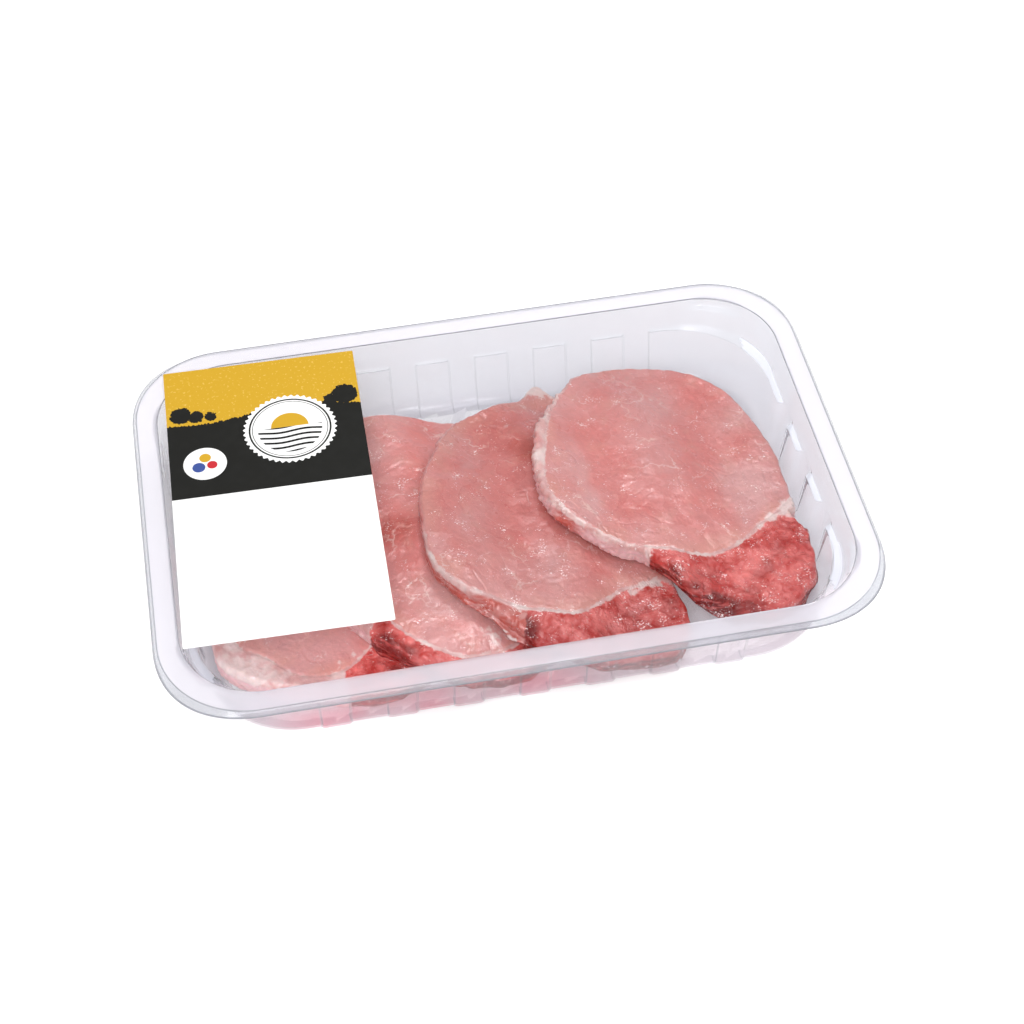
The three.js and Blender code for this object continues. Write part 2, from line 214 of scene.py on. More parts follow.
class Graph:
    """Adds nodes to one tree and wires them."""

    ROW = 12  # nodes side by side in the editor
    SPACING = (180, 220)

    def __init__(self, tree: bpy.types.NodeTree) -> None:
        """Keep the tree.

        Args:
            tree: Node tree of a material, a group or the world.
        """
        self.tree = tree
        self.count = 0

    def feed(self, socket: Socket, value: Feed) -> None:
        """Link a socket or set its plain value.

        Args:
            socket: Input to feed.
            value: Output socket, or the value to set.
        """
        if isinstance(value, Socket):
            self.tree.links.new(value, socket)
        else:
            socket.default_value = value

    def add(
        self, kind: str, inputs: dict[Any, Feed] | None = None, **settings: Any
    ) -> bpy.types.Node:
        """Add one node.

        Args:
            kind: Node type.
            inputs: What feeds each input, by name or number.
            settings: Properties of the node.

        Returns:
            The new node.
        """
        node = self.tree.nodes.new(kind)
        down, across = divmod(self.count, self.ROW)
        node.location = (self.SPACING[0] * across, -self.SPACING[1] * down)
        self.count += 1
        for key, value in settings.items():
            setattr(node, key, value)
        for key, value in (inputs or {}).items():
            self.feed(node.inputs[key], value)
        return node

    def math(self, operation: str, a: Feed, b: Feed = 0.0, clamp: bool = False) -> Socket:
        """Work out one step of arithmetic.

        Args:
            operation: Name of the step, such as MULTIPLY.
            a: First number.
            b: Second number.
            clamp: Whether the result is kept between 0 and 1.

        Returns:
            Socket of the result.
        """
        node = self.add("ShaderNodeMath", {0: a, 1: b}, operation=operation, use_clamp=clamp)
        return node.outputs[0]

    def plus(self, a: Feed, b: Feed) -> Socket:
        """Add two numbers."""
        return self.math("ADD", a, b)

    def minus(self, a: Feed, b: Feed) -> Socket:
        """Take the second number from the first."""
        return self.math("SUBTRACT", a, b)

    def times(self, a: Feed, b: Feed) -> Socket:
        """Multiply two numbers."""
        return self.math("MULTIPLY", a, b)

    def centred(self, value: Feed) -> Socket:
        """Bring noise, which varies about one half, to vary about zero."""
        return self.minus(value, 0.5)

    def fade(
        self, value: Feed, low: float, high: float, start: float = 0.0, end: float = 1.0
    ) -> Socket:
        """Fade from start at low to end at high, with level ends.

        Args:
            value: Number that drives the fade.
            low: Where the fade starts.
            high: Where it ends.
            start: Result at low.
            end: Result at high.

        Returns:
            Socket of the result.
        """
        inputs = {"Value": value, "From Min": low, "From Max": high, "To Min": start, "To Max": end}
        node = self.add("ShaderNodeMapRange", inputs, interpolation_type="SMOOTHSTEP")
        return node.outputs["Result"]

    def mix(self, factor: Feed, a: Feed, b: Feed, blend: str = "MIX") -> Socket:
        """Blend two colours.

        Args:
            factor: Share of the second colour.
            a: First colour.
            b: Second colour.
            blend: How the second is laid on the first.

        Returns:
            Socket of the blend.
        """
        inputs = {0: factor, 6: a, 7: b}
        return self.add("ShaderNodeMix", inputs, data_type="RGBA", blend_type=blend).outputs[2]

    def noise(
        self, vector: Feed, scale: Feed, detail: float = 2.0, warp: float = 0.0
    ) -> Socket:
        """Read cloudy noise.

        Args:
            vector: Where it is read.
            scale: Cells in a metre.
            detail: Number of finer layers.
            warp: How far the pattern is pushed about.

        Returns:
            Socket of a value around one half.
        """
        inputs = {"Vector": vector, "Scale": scale, "Detail": detail, "Distortion": warp}
        return self.add("ShaderNodeTexNoise", inputs).outputs["Fac"]

    def place(self) -> Socket:
        """Give the point's own coordinates."""
        return self.add("ShaderNodeTexCoord").outputs["Object"]

    def stretch(self, vector: Feed, scale: Triple, turn: float = 0.0) -> Socket:
        """Stretch and turn coordinates about Z.

        Args:
            vector: Coordinates.
            scale: Factor along each axis.
            turn: Turn in degrees.

        Returns:
            Socket of the new coordinates.
        """
        inputs = {"Vector": vector, "Scale": scale, "Rotation": (0.0, 0.0, math.radians(turn))}
        return self.add("ShaderNodeMapping", inputs, vector_type="POINT").outputs["Vector"]

    def trait(self, name: str) -> Socket:
        """Read a number that the mesh carries at its points."""
        settings = {"attribute_name": name, "attribute_type": "GEOMETRY"}
        return self.add("ShaderNodeAttribute", **settings).outputs["Fac"]

    def bump(self, height: Feed, strength: float, distance: float) -> Socket:
        """Bend the surface's normal by a height.

        Args:
            height: The height.
            strength: Share of the effect.
            distance: Metres that a height of 1 stands for.

        Returns:
            Socket of the normal.
        """
        inputs = {"Height": height, "Strength": strength, "Distance": distance}
        return self.add("ShaderNodeBump", inputs).outputs["Normal"]

    def surface(self, looks: dict[str, Feed]) -> None:
        """Finish a material with one principled shader.

        Args:
            looks: What feeds the shader's inputs.
        """
        body = self.add("ShaderNodeBsdfPrincipled", looks)
        self.add("ShaderNodeOutputMaterial", {"Surface": body.outputs[0]})

    def group(self, made: bpy.types.NodeTree, inputs: dict[str, Feed]) -> bpy.types.Node:
        """Place a node group.

        Args:
            made: The group.
            inputs: What feeds its inputs.

        Returns:
            The group's node.
        """
        node = self.add("ShaderNodeGroup", node_tree=made)
        for key, value in inputs.items():
            self.feed(node.inputs[key], value)
        return node


class GroupKind(Enum):
    """Shared surface effects, by the name of their node group."""

    MUSCLE_GRAIN = "muscle_grain"
    MARBLING = "marbling"
    SHEET_WEAR = "sheet_wear"


class GroupLibrary:
    """Builds each shared node group once."""

    BROAD = 0.22  # scale of the broad grain, against the fine one's
    TONE = (0.6, 0.4)  # shares of the fine and the broad grain in the tone
    BEAD = 0.5  # height of the beads, against the fine grain's
    WRINKLE = Ramp(0.0, 0.045, 1.0, 0.0)
    WRINKLE_DEPTH = 0.3
    PUSH_SCALE = 2.5  # of what bends the veins, against their own
    PUSH = 0.012  # metres that they are bent
    GAP_SCALE = 0.9
    GAPS = Ramp(0.5, 0.64)  # where the veins show, of a noise
    RUBS = Ramp(0.45, 0.7)  # where the plastic is rubbed, of a noise
    RIPPLE_SCALE = 0.6  # against the rubbed spots'

    def __init__(self) -> None:
        """Start with no groups."""
        self.made: dict[GroupKind, bpy.types.NodeTree] = {}

    def get(self, kind: GroupKind) -> bpy.types.NodeTree:
        """Give a group, built at its first use.

        Args:
            kind: Which effect.

        Returns:
            The node group.
        """
        if kind not in self.made:
            build = {
                GroupKind.MUSCLE_GRAIN: self._muscle_grain,
                GroupKind.MARBLING: self._marbling,
                GroupKind.SHEET_WEAR: self._sheet_wear,
            }[kind]
            tree = bpy.data.node_groups.new(kind.value, "ShaderNodeTree")
            build(tree)
            self.made[kind] = tree
        return self.made[kind]

    @staticmethod
    def _sockets(
        tree: bpy.types.NodeTree, inputs: dict[str, tuple[str, Any]], outputs: list[str]
    ) -> tuple[Graph, bpy.types.Node, bpy.types.Node]:
        """Make a group's sockets.

        Args:
            tree: The group.
            inputs: Kind and first value of each input, by name.
            outputs: Names of the number outputs.

        Returns:
            The graph, the group's input node and its output node.
        """
        for name, (kind, value) in inputs.items():
            socket = tree.interface.new_socket(name, in_out="INPUT", socket_type=kind)
            if value is not None:
                socket.default_value = value
        for name in outputs:
            tree.interface.new_socket(name, in_out="OUTPUT", socket_type="NodeSocketFloat")
        graph = Graph(tree)
        return graph, graph.add("NodeGroupInput"), graph.add("NodeGroupOutput")

    def _muscle_grain(self, tree: bpy.types.NodeTree) -> None:
        """Fibre ends on a cut face: fine grain with short wrinkles.

        Args:
            tree: The group to fill.
        """
        inputs = {"Vector": ("NodeSocketVector", None), "Scale": ("NodeSocketFloat", 700.0)}
        graph, given, result = self._sockets(tree, inputs, ["Tone", "Height"])
        vector, scale = given.outputs["Vector"], given.outputs["Scale"]
        fine = graph.noise(vector, scale, 3.0, 0.4)
        points = {"Vector": vector, "Scale": scale}
        cell = graph.add("ShaderNodeTexVoronoi", points, feature="F1").outputs["Distance"]
        broad = graph.noise(vector, graph.times(scale, self.BROAD), 4.0, 1.2)
        wrinkle = graph.fade(graph.math("ABSOLUTE", graph.centred(broad)), *self.WRINKLE)
        tone = graph.plus(graph.times(fine, self.TONE[0]), graph.times(broad, self.TONE[1]))
        beads = graph.plus(fine, graph.times(cell, self.BEAD))
        height = graph.minus(beads, graph.times(wrinkle, self.WRINKLE_DEPTH))
        graph.feed(result.inputs["Tone"], tone)
        graph.feed(result.inputs["Height"], height)

    def _marbling(self, tree: bpy.types.NodeTree) -> None:
        """Thin broken veins of fat.

        Args:
            tree: The group to fill.
        """
        inputs = {
            "Vector": ("NodeSocketVector", None),
            "Scale": ("NodeSocketFloat", 60.0),
            "Width": ("NodeSocketFloat", 0.02),
        }
        graph, given, result = self._sockets(tree, inputs, ["Mask"])
        vector, scale = given.outputs["Vector"], given.outputs["Scale"]
        push = {"Vector": vector, "Scale": graph.times(scale, self.PUSH_SCALE), "Detail": 3.0}
        away = {0: graph.add("ShaderNodeTexNoise", push).outputs["Color"], "Scale": self.PUSH}
        bend = graph.add("ShaderNodeVectorMath", away, operation="SCALE").outputs[0]
        moved = graph.add("ShaderNodeVectorMath", {0: vector, 1: bend}, operation="ADD").outputs[0]
        points = {"Vector": moved, "Scale": scale}
        web = graph.add("ShaderNodeTexVoronoi", points, feature="DISTANCE_TO_EDGE")
        width = graph.math("DIVIDE", web.outputs["Distance"], given.outputs["Width"])
        line = graph.math("SUBTRACT", 1.0, width, clamp=True)
        gap = graph.fade(graph.noise(vector, graph.times(scale, self.GAP_SCALE)), *self.GAPS)
        graph.feed(result.inputs["Mask"], graph.times(line, gap))

    def _sheet_wear(self, tree: bpy.types.NodeTree) -> None:
        """Faint ripples and rubbed spots of thin plastic.

        Args:
            tree: The group to fill.
        """
        inputs = {
            "Vector": ("NodeSocketVector", None),
            "Scale": ("NodeSocketFloat", 40.0),
            "Clean": ("NodeSocketFloat", 0.1),
            "Rubbed": ("NodeSocketFloat", 0.2),
        }
        graph, given, result = self._sockets(tree, inputs, ["Roughness", "Height"])
        vector, scale = given.outputs["Vector"], given.outputs["Scale"]
        share = graph.fade(graph.noise(vector, scale, 3.0), *self.RUBS)
        spread = graph.minus(given.outputs["Rubbed"], given.outputs["Clean"])
        roughness = graph.plus(given.outputs["Clean"], graph.times(spread, share))
        ripple = graph.noise(vector, graph.times(scale, self.RIPPLE_SCALE))
        graph.feed(result.inputs["Roughness"], roughness)
        graph.feed(result.inputs["Height"], ripple)


def new_material(name: str) -> tuple[bpy.types.Material, Graph]:
    """Make an empty material.

    Args:
        name: Its name.

    Returns:
        The material and the graph of its nodes.
    """
    material = bpy.data.materials.new(name)
    material.use_nodes = True
    material.node_tree.nodes.clear()
    return material, Graph(material.node_tree)


@dataclass(frozen=True)
class PaintedFrontLight:
    """Painted light on the front wall of the tray, in metres: a painted pink reflection of the meat
    low down, and a lighter painted tint elsewhere, where the lamps fall.
    """

    meat_reflection: Colour  # painted reflection: the pink of the meat, painted onto the wall there
    near: Colour  # painted light: a lighter tint of the front wall elsewhere, where the lamps fall on it
    front: Ramp = Ramp(-0.068, -0.06, 1.0, 0.0)  # of Y
    low: Ramp = Ramp(0.013, 0.021, 1.0, 0.0)  # of the height
    middle: float = -0.035  # of the wetted stretch, along X
    along: Ramp = Ramp(0.03, 0.07, 1.0, 0.0)  # of the distance from its middle
    patches: Cloud = Cloud(32.0)
    broken: Ramp = Ramp(0.36, 0.58, 0.3, 1.0)  # of the patches

    def tint(self, graph: Graph, own_tint: Colour) -> Socket:
        """Tint the plastic, with the painted light and the painted reflection on the front wall.

        Args:
            graph: The material's graph.
            own_tint: The plastic's own tint.

        Returns:
            Socket of the colour.
        """
        place = graph.place()
        parts = graph.add("ShaderNodeSeparateXYZ", {0: place}).outputs
        front = graph.fade(parts["Y"], *self.front)
        away = graph.math("ABSOLUTE", graph.minus(parts["X"], self.middle))
        wall = graph.times(front, graph.fade(away, *self.along))
        cloud = graph.fade(graph.noise(place, *self.patches), *self.broken)
        mask = graph.times(wall, graph.times(graph.fade(parts["Z"], *self.low), cloud))
        # painted light over the front wall, then the painted pink reflection of the meat low on it
        return graph.mix(mask, graph.mix(front, own_tint, self.near), self.meat_reflection)


@dataclass(frozen=True)
class ClearFinish:
    """Clear plastic that lets lamps reach what lies behind it."""

    name: str
    tint: Colour
    clean: float  # roughness where it is smooth
    rubbed: float  # and where it is rubbed
    ior: float
    milk: float  # share of light that it scatters
    coat: float
    through: Colour  # what the lamps' light turns to behind it
    # painted light and painted reflection on the front wall, if any
    painted_front: PaintedFrontLight | None = None
    coat_roughness: float = 0.12

    def build(self, groups: GroupLibrary) -> bpy.types.Material:
        """Make the material.

        Args:
            groups: Shared effects.

        Returns:
            The material.
        """
        material, graph = new_material(self.name)
        plastic = {
            "Base Color": self.painted_front.tint(graph, self.tint) if self.painted_front else self.tint,
            "Roughness": self._roughness(graph, groups),
            "IOR": self.ior,
            "Transmission Weight": 1.0 - self.milk,
            "Coat Weight": self.coat,
            "Coat Roughness": self.coat_roughness,
        }
        body = graph.add("ShaderNodeBsdfPrincipled", plastic).outputs[0]
        path = graph.add("ShaderNodeLightPath").outputs
        passing = graph.math("MAXIMUM", path["Is Shadow Ray"], path["Is Diffuse Ray"])
        clear = graph.add("ShaderNodeBsdfTransparent", {"Color": self.through}).outputs[0]
        mixed = graph.add("ShaderNodeMixShader", {0: passing, 1: body, 2: clear})
        graph.add("ShaderNodeOutputMaterial", {"Surface": mixed.outputs[0]})
        return material

    def _roughness(self, graph: Graph, groups: GroupLibrary) -> Feed:
        """Give the roughness: one value, or a pattern where some of it is rubbed.

        Args:
            graph: The material's graph.
            groups: Shared effects.

        Returns:
            The value, or the pattern's socket.
        """
        if self.clean == self.rubbed:
            return self.clean
        inputs = {"Vector": graph.place(), "Clean": self.clean, "Rubbed": self.rubbed}
        return graph.group(groups.get(GroupKind.SHEET_WEAR), inputs).outputs["Roughness"]


@dataclass
class MeatPatterns:
    """Patterns that the muscles and the fat of a cutlet share."""

    graph: Graph
    place: Feed
    tone: Feed  # fine grain of the fibre ends
    height: Feed  # its relief
    veins: Feed  # mask of the marbling
    cloud: Feed  # noise nearly as wide as a muscle
    patch: Feed  # noise of some millimetres
    coarse: Feed  # noise of the bundles of fibres


@dataclass(frozen=True)
class MeatFinish:
    """Raw pork: pale eye muscle, cream fat and red tail muscle, all wet, with painted glints and
    painted shade.
    """

    name: str = "raw_pork"
    eye_pale: Colour = shade(206, 152, 149)
    eye_pink: Colour = shade(205, 122, 117)
    eye_red: Colour = shade(178, 78, 66)
    eye_tan: Colour = shade(208, 155, 140)
    flesh: Colour = shade(184, 86, 76)
    tail_light: Colour = shade(216, 110, 105)
    tail_dark: Colour = shade(182, 52, 47)
    # painted shade: the dark red of the tail's hollows and of its side
    tail_painted_shade: Colour = shade(112, 16, 12)
    fat_cream: Colour = shade(222, 198, 193)
    fat_pink: Colour = shade(206, 158, 154)
    fat_side: Colour = shade(222, 176, 178)
    vein: Colour = shade(226, 190, 182)
    # painted highlight: the white of the small wet glints
    painted_glint: Colour = shade(252, 240, 238)

    grain_scale: float = 620.0  # cells in a metre
    vein_scale: float = 62.0
    vein_width: float = 0.028
    vein_share: float = 0.75
    cloud: Cloud = Cloud(42.0, 2.5, 0.6)
    patch: Cloud = Cloud(130.0, 2.0, 0.3)
    coarse: Cloud = Cloud(420.0, 4.0, 0.5)
    strand: Cloud = Cloud(110.0, 3.0, 0.5)
    streak: Cloud = Cloud(160.0, 3.0, 0.4)
    damp: Cloud = Cloud(75.0, 3.0, 0.4)
    flock: Cloud = Cloud(170.0, 3.0, 0.6)
    # the beads: the noise that draws the painted glints
    bead: Cloud = Cloud(1500.0, 1.0, 0.8)

    strand_stretch: Triple = (1.0, 1.0, 7.0)  # strands and streaks lie along the side
    streak_stretch: Triple = (1.0, 1.0, 5.0)
    bead_stretch: Triple = (1.0, 1.5, 1.0)
    bead_turn: float = 20.0  # degrees

    ragged: float = 1.3  # millimetres that the borders wander
    sway: float = 2.0  # how much the clouds add to the blush
    tail_coarse: float = 0.5  # share of the coarse noise in the tail's blotches
    border: Ramp = Ramp(-0.35, 0.45)  # of the depth in a muscle, in millimetres
    eye_pinker: Ramp = Ramp(-0.7, 0.8)  # of the blush, which is partly painted shade
    eye_redder: Ramp = Ramp(0.6, 2.0)  # of the blush, which is partly painted shade
    eye_blotch: Ramp = Ramp(0.5, 0.75, 0.0, 0.25)  # of the patches
    eye_hollow: Ramp = Ramp(0.25, 1.0, 0.0, 0.5)  # of the hollows, in millimetres: painted shade, pinker there
    eye_rim: Ramp = Ramp(1.0, 9.0, 0.4, 0.0)  # of the depth in the eye
    rim_broken: Ramp = Ramp(0.4, 0.6)  # of the clouds
    tail_blotch: Ramp = Ramp(0.55, 0.95)  # of the patches and the coarse noise
    tail_hollow: Ramp = Ramp(0.3, 2.4, 0.0, 0.6)  # of the hollows: painted shade
    tail_strand: Ramp = Ramp(0.44, 0.64, 1.0, 0.35)  # of the strands
    tail_dusk: Ramp = Ramp(0.1, 1.0)  # of the blush: darker tail there, partly painted shade
    fat_blotch: Ramp = Ramp(0.36, 0.6)  # of the patches
    fat_lean: Ramp = Ramp(-0.8, -0.2, 0.9, 0.0)  # of the lard: below zero the rim is lean
    fat_streak: Ramp = Ramp(0.35, 0.62, 0.45, 0.95)  # of the streaks, on the side
    flesh_streak: Ramp = Ramp(0.36, 0.56, 0.7, 1.0)  # of the streaks, where the side is flesh
    lard_rag: float = 1.6
    lard_edge: Ramp = Ramp(0.42, 0.8, 0.0, 0.9)
    grain_tone: Ramp = Ramp(0.35, 0.65, 0.95, 1.04)

    wetness: Ramp = Ramp(0.46, 0.62)  # of the damp patches
    roughness: Ramp = Ramp(0.0, 1.0, 0.32, 0.16)  # of the wetness
    flock_share: float = 0.7
    tail_glints: Ramp = Ramp(0.0, 1.0, 0.0, 0.03)  # of the tail muscle: more painted glints there
    # where the painted glints show, of the beads and flocks
    glints: Ramp = Ramp(0.725, 0.79, 0.0, 0.85)
    grain_relief: float = 0.14
    lumps: Ramp = Ramp(0.0, 1.0, 0.3, 1.5)  # of the tail muscle
    bump_strength: float = 0.6
    bump_height: float = 0.9  # millimetres
    ior: float = 1.5
    glow: float = 0.15  # share of light that enters the meat
    glow_reach: float = 1.2  # millimetres
    glow_colours: Triple = (1.0, 0.35, 0.25)

    def build(self, groups: GroupLibrary) -> bpy.types.Material:
        """Make the material.

        Args:
            groups: Shared effects.

        Returns:
            The material.
        """
        material, graph = new_material(self.name)
        pattern = self._patterns(graph, groups)
        coarse = graph.centred(pattern.coarse)
        wander = graph.times(coarse, 2 * self.ragged)
        in_eye = graph.fade(graph.plus(graph.trait("eye_depth"), wander), *self.border)
        in_tail = graph.fade(graph.plus(graph.trait("tail_depth"), wander), *self.border)

        colour = graph.mix(in_eye, self._fat(pattern), self._eye(pattern))
        colour = graph.mix(in_tail, colour, self._tail(pattern))
        broken = graph.plus(graph.trait("lard"), graph.times(coarse, self.lard_rag))
        colour = graph.mix(graph.fade(broken, *self.lard_edge), colour, self.fat_cream)
        # grain tone times each cutlet's brightness; cutlet_1's raised brightness is painted light
        grain_and_light = graph.times(graph.fade(pattern.tone, *self.grain_tone), graph.trait("bright"))
        colour = graph.mix(1.0, colour, grain_and_light, "MULTIPLY")
        # painted highlights: small white glints laid into the colour
        colour = graph.mix(self._painted_glints(pattern, in_tail), colour, self.painted_glint)

        wet = graph.fade(graph.noise(pattern.place, *self.damp), *self.wetness)
        lumps = graph.times(coarse, graph.fade(in_tail, *self.lumps))
        height = graph.plus(graph.times(pattern.height, self.grain_relief), lumps)
        graph.surface({
            "Base Color": colour,
            "Roughness": graph.fade(wet, *self.roughness),
            "IOR": self.ior,
            "Subsurface Weight": self.glow,
            "Subsurface Radius": self.glow_colours,
            "Subsurface Scale": self.glow_reach * MM,
            "Normal": graph.bump(height, self.bump_strength, self.bump_height * MM),
        })
        return material

    def _patterns(self, graph: Graph, groups: GroupLibrary) -> MeatPatterns:
        """Make the patterns that the parts share.

        Args:
            graph: The material's graph.
            groups: Shared effects.

        Returns:
            The patterns.
        """
        place = graph.place()
        fibres = {"Vector": place, "Scale": self.grain_scale}
        grain = graph.group(groups.get(GroupKind.MUSCLE_GRAIN), fibres)
        web = {"Vector": place, "Scale": self.vein_scale, "Width": self.vein_width}
        veins = graph.group(groups.get(GroupKind.MARBLING), web)
        clouds = (graph.noise(place, *cloud) for cloud in (self.cloud, self.patch, self.coarse))
        relief = grain.outputs["Height"]
        return MeatPatterns(
            graph, place, grain.outputs["Tone"], relief, veins.outputs["Mask"], *clouds
        )

    def _eye(self, pattern: MeatPatterns) -> Socket:
        """Colour the eye muscle: pale to pink, with veins, a tan rim and painted shade in its
        hollows.

        Args:
            pattern: The shared patterns.

        Returns:
            Socket of the colour.
        """
        graph = pattern.graph
        sway = graph.times(graph.centred(pattern.cloud), self.sway)
        # the blush is partly the meat's own tone and partly painted shade and painted light
        blush_and_shading = graph.plus(graph.trait("blush_and_shading"), sway)
        eye = graph.mix(graph.fade(blush_and_shading, *self.eye_pinker), self.eye_pale, self.eye_pink)
        eye = graph.mix(graph.fade(blush_and_shading, *self.eye_redder), eye, self.eye_red)
        eye = graph.mix(graph.fade(pattern.patch, *self.eye_blotch), eye, self.eye_tan)
        eye = graph.mix(graph.times(pattern.veins, self.vein_share), eye, self.vein)
        # painted shade: pinker in the hollows
        eye = graph.mix(graph.fade(graph.trait("hollow"), *self.eye_hollow), eye, self.eye_pink)
        rim = graph.fade(graph.trait("eye_depth"), *self.eye_rim)
        rim = graph.times(rim, graph.fade(pattern.cloud, *self.rim_broken))
        return graph.mix(rim, eye, self.eye_tan)

    def _tail(self, pattern: MeatPatterns) -> Socket:
        """Colour the tail muscle: red, with painted shade in its hollows and down its side.

        Args:
            pattern: The shared patterns.

        Returns:
            Socket of the colour.
        """
        graph = pattern.graph
        blotch = graph.plus(pattern.patch, graph.times(pattern.coarse, self.tail_coarse))
        tail = graph.mix(graph.fade(blotch, *self.tail_blotch), self.tail_dark, self.tail_light)
        # painted shade: dark red in the hollows
        tail = graph.mix(graph.fade(graph.trait("hollow"), *self.tail_hollow), tail, self.tail_painted_shade)
        strand = graph.noise(graph.stretch(pattern.place, self.strand_stretch), *self.strand)
        # painted shade down the tail's side and where the blush is high, broken into strands
        shade_and_blush = graph.fade(graph.trait("blush_and_shading"), *self.tail_dusk)
        shade_and_blush = graph.math("MAXIMUM", graph.trait("side"), shade_and_blush)
        shade_and_blush = graph.times(shade_and_blush, graph.fade(strand, *self.tail_strand))
        return graph.mix(shade_and_blush, tail, self.tail_painted_shade)

    def _fat(self, pattern: MeatPatterns) -> Socket:
        """Colour the fat: cream and pink above, streaked down its side.

        Args:
            pattern: The shared patterns.

        Returns:
            Socket of the colour.
        """
        graph = pattern.graph
        fat = graph.mix(graph.fade(pattern.patch, *self.fat_blotch), self.fat_cream, self.fat_pink)
        fat = graph.mix(graph.fade(graph.trait("lard"), *self.fat_lean), fat, self.eye_pink)
        streak = graph.noise(graph.stretch(pattern.place, self.streak_stretch), *self.streak)
        side = graph.times(graph.trait("side"), graph.fade(streak, *self.fat_streak))
        fat = graph.mix(side, fat, self.fat_side)
        bare = graph.times(graph.trait("flesh"), graph.fade(streak, *self.flesh_streak))
        return graph.mix(bare, fat, self.flesh)

    def _painted_glints(self, pattern: MeatPatterns, in_tail: Feed) -> Socket:
        """Scatter small painted glints, white highlights laid into the colour, in flocks.

        Args:
            pattern: The shared patterns.
            in_tail: Mask of the tail muscle.

        Returns:
            Socket of the painted glints' mask.
        """
        graph = pattern.graph
        flock = graph.centred(graph.noise(pattern.place, *self.flock))
        flock = graph.times(flock, self.flock_share)
        flock = graph.plus(flock, graph.fade(in_tail, *self.tail_glints))
        place = graph.stretch(pattern.place, self.bead_stretch, self.bead_turn)
        return graph.fade(graph.plus(graph.noise(place, *self.bead), flock), *self.glints)


# ---------------------------------------------------------------- meshes


def finished_object(
    bm: bmesh.types.BMesh, name: str, material: bpy.types.Material
) -> bpy.types.Object:
    """Turn a mesh in progress into a smooth shaded object at the origin.

    Args:
        bm: The mesh, in metres. It is freed.
        name: Name of the piece.
        material: Its material.

    Returns:
        The object, linked to the scene.
    """
    mesh = bpy.data.meshes.new(name)
    bm.to_mesh(mesh)
    bm.free()
    mesh.materials.append(material)
    mesh.polygons.foreach_set("use_smooth", np.ones(len(mesh.polygons), dtype=bool))
    piece = bpy.data.objects.new(name, mesh)
    bpy.context.collection.objects.link(piece)
    return piece


@dataclass(frozen=True)
class Rounding:
    """A rounded rectangle by its half sizes and corner radius."""

    half_x: float
    half_y: float
    radius: float

    def toward(self, other: Rounding, share: float) -> Rounding:
        """Give the rectangle a share of the way to another.

        Args:
            other: The other rectangle.
            share: 0 for this one, 1 for the other.

        Returns:
            The rectangle between.
        """
        mine = (self.half_x, self.half_y, self.radius)
        theirs = (other.half_x, other.half_y, other.radius)
        return Rounding(*(a + (b - a) * share for a, b in zip(mine, theirs)))

    def grown(self, amount: float) -> Rounding:
        """Give the rectangle moved outward by amount."""
        return Rounding(self.half_x + amount, self.half_y + amount, self.radius + amount)


class TrayPart(Enum):
    """Parts of the tray's sheet that look different, by material index; the ledge carries a painted
    highlight, the crease and the fold painted shade.
    """

    WALL = 0
    LAND = 1
    # painted highlight: whiter, milkier plastic on the ledge's level faces at the ends
    LEDGE = 2
    # painted shade: darker tint along the creases at the land's edges, where the bent plastic is
    # seen edge-on
    CREASE = 3
    LIP = 4
    # painted shade: darker tint on the long walls' flute ramps, seen edge-on
    FOLD = 5


@dataclass(frozen=True)
class WallRow:
    """One ring of the tray's skin and the share of each relief that it has."""

    outline: Rounding
    z: float
    flute_x: float = 0.0
    flute_y: float = 0.0
    lug: float = 0.0
    tab: float = 0.0
    part: TrayPart = TrayPart.WALL  # what the strip that ends at this ring is made as


@dataclass
class Stations:
    """Places round the tray that every ring has, with what each carries."""

    normal: list[Pair] = field(default_factory=list)
    corner: list[Pair] = field(default_factory=list)
    along: list[float] = field(default_factory=list)
    flute: list[float] = field(default_factory=list)
    lug: list[float] = field(default_factory=list)
    tab: list[float] = field(default_factory=list)

    def append(
        self,
        normal: Pair,
        corner: Pair = (0.0, 0.0),
        along: float = 0.0,
        flute: float = 0.0,
        lug: float = 0.0,
        tab: float = 0.0,
    ) -> None:
        """Add one station.

        Args:
            normal: Outward direction.
            corner: Signs of the corner's quarter, or zeros on a straight side.
            along: Place along a straight side.
            flute: Share of the flutes' depth.
            lug: Share of the lug's depth.
            tab: Share of the lip's extra reach.
        """
        self.normal.append(normal)
        self.corner.append(corner)
        self.along.append(along)
        self.flute.append(flute)
        self.lug.append(lug)
        self.tab.append(tab)

    def ring(self, row: WallRow, depth: float, tab_reach: float) -> Array:
        """Work out one ring's points.

        Args:
            row: The ring.
            depth: Depth of the lugs.
            tab_reach: Extra reach of the lip at the corners.

        Returns:
            Points in millimetres, one for each station.
        """
        normal, corner = np.array(self.normal), np.array(self.corner)
        along = np.array(self.along)
        shape = row.outline
        half = np.array([shape.half_x, shape.half_y])
        bent = np.abs(corner).sum(axis=1, keepdims=True) > 0
        arc = corner * (half - shape.radius) + normal * shape.radius
        straight = normal * half + (1.0 - np.abs(normal)) * along[:, None]
        points = np.where(bent, arc, straight)
        flute_depth = np.abs(normal[:, 0]) * row.flute_x + np.abs(normal[:, 1]) * row.flute_y
        out = np.array(self.flute) * flute_depth
        out += np.array(self.lug) * row.lug * depth + np.array(self.tab) * row.tab * tab_reach
        points = points + normal * out[:, None]
        return np.column_stack([points, np.full(len(points), row.z)])


@dataclass(frozen=True)
class Flutes:
    """The flutes of one straight side."""

    count: int
    pitch: float
    middle: float
    width: float


class Rim(NamedTuple):
    """One ring near the tray's land, by how it differs from its outline."""

    grow: float  # how far it lies outside the outline
    drop: float  # how far below the land's top
    tab: float  # share of the lip's extra reach
    part: TrayPart


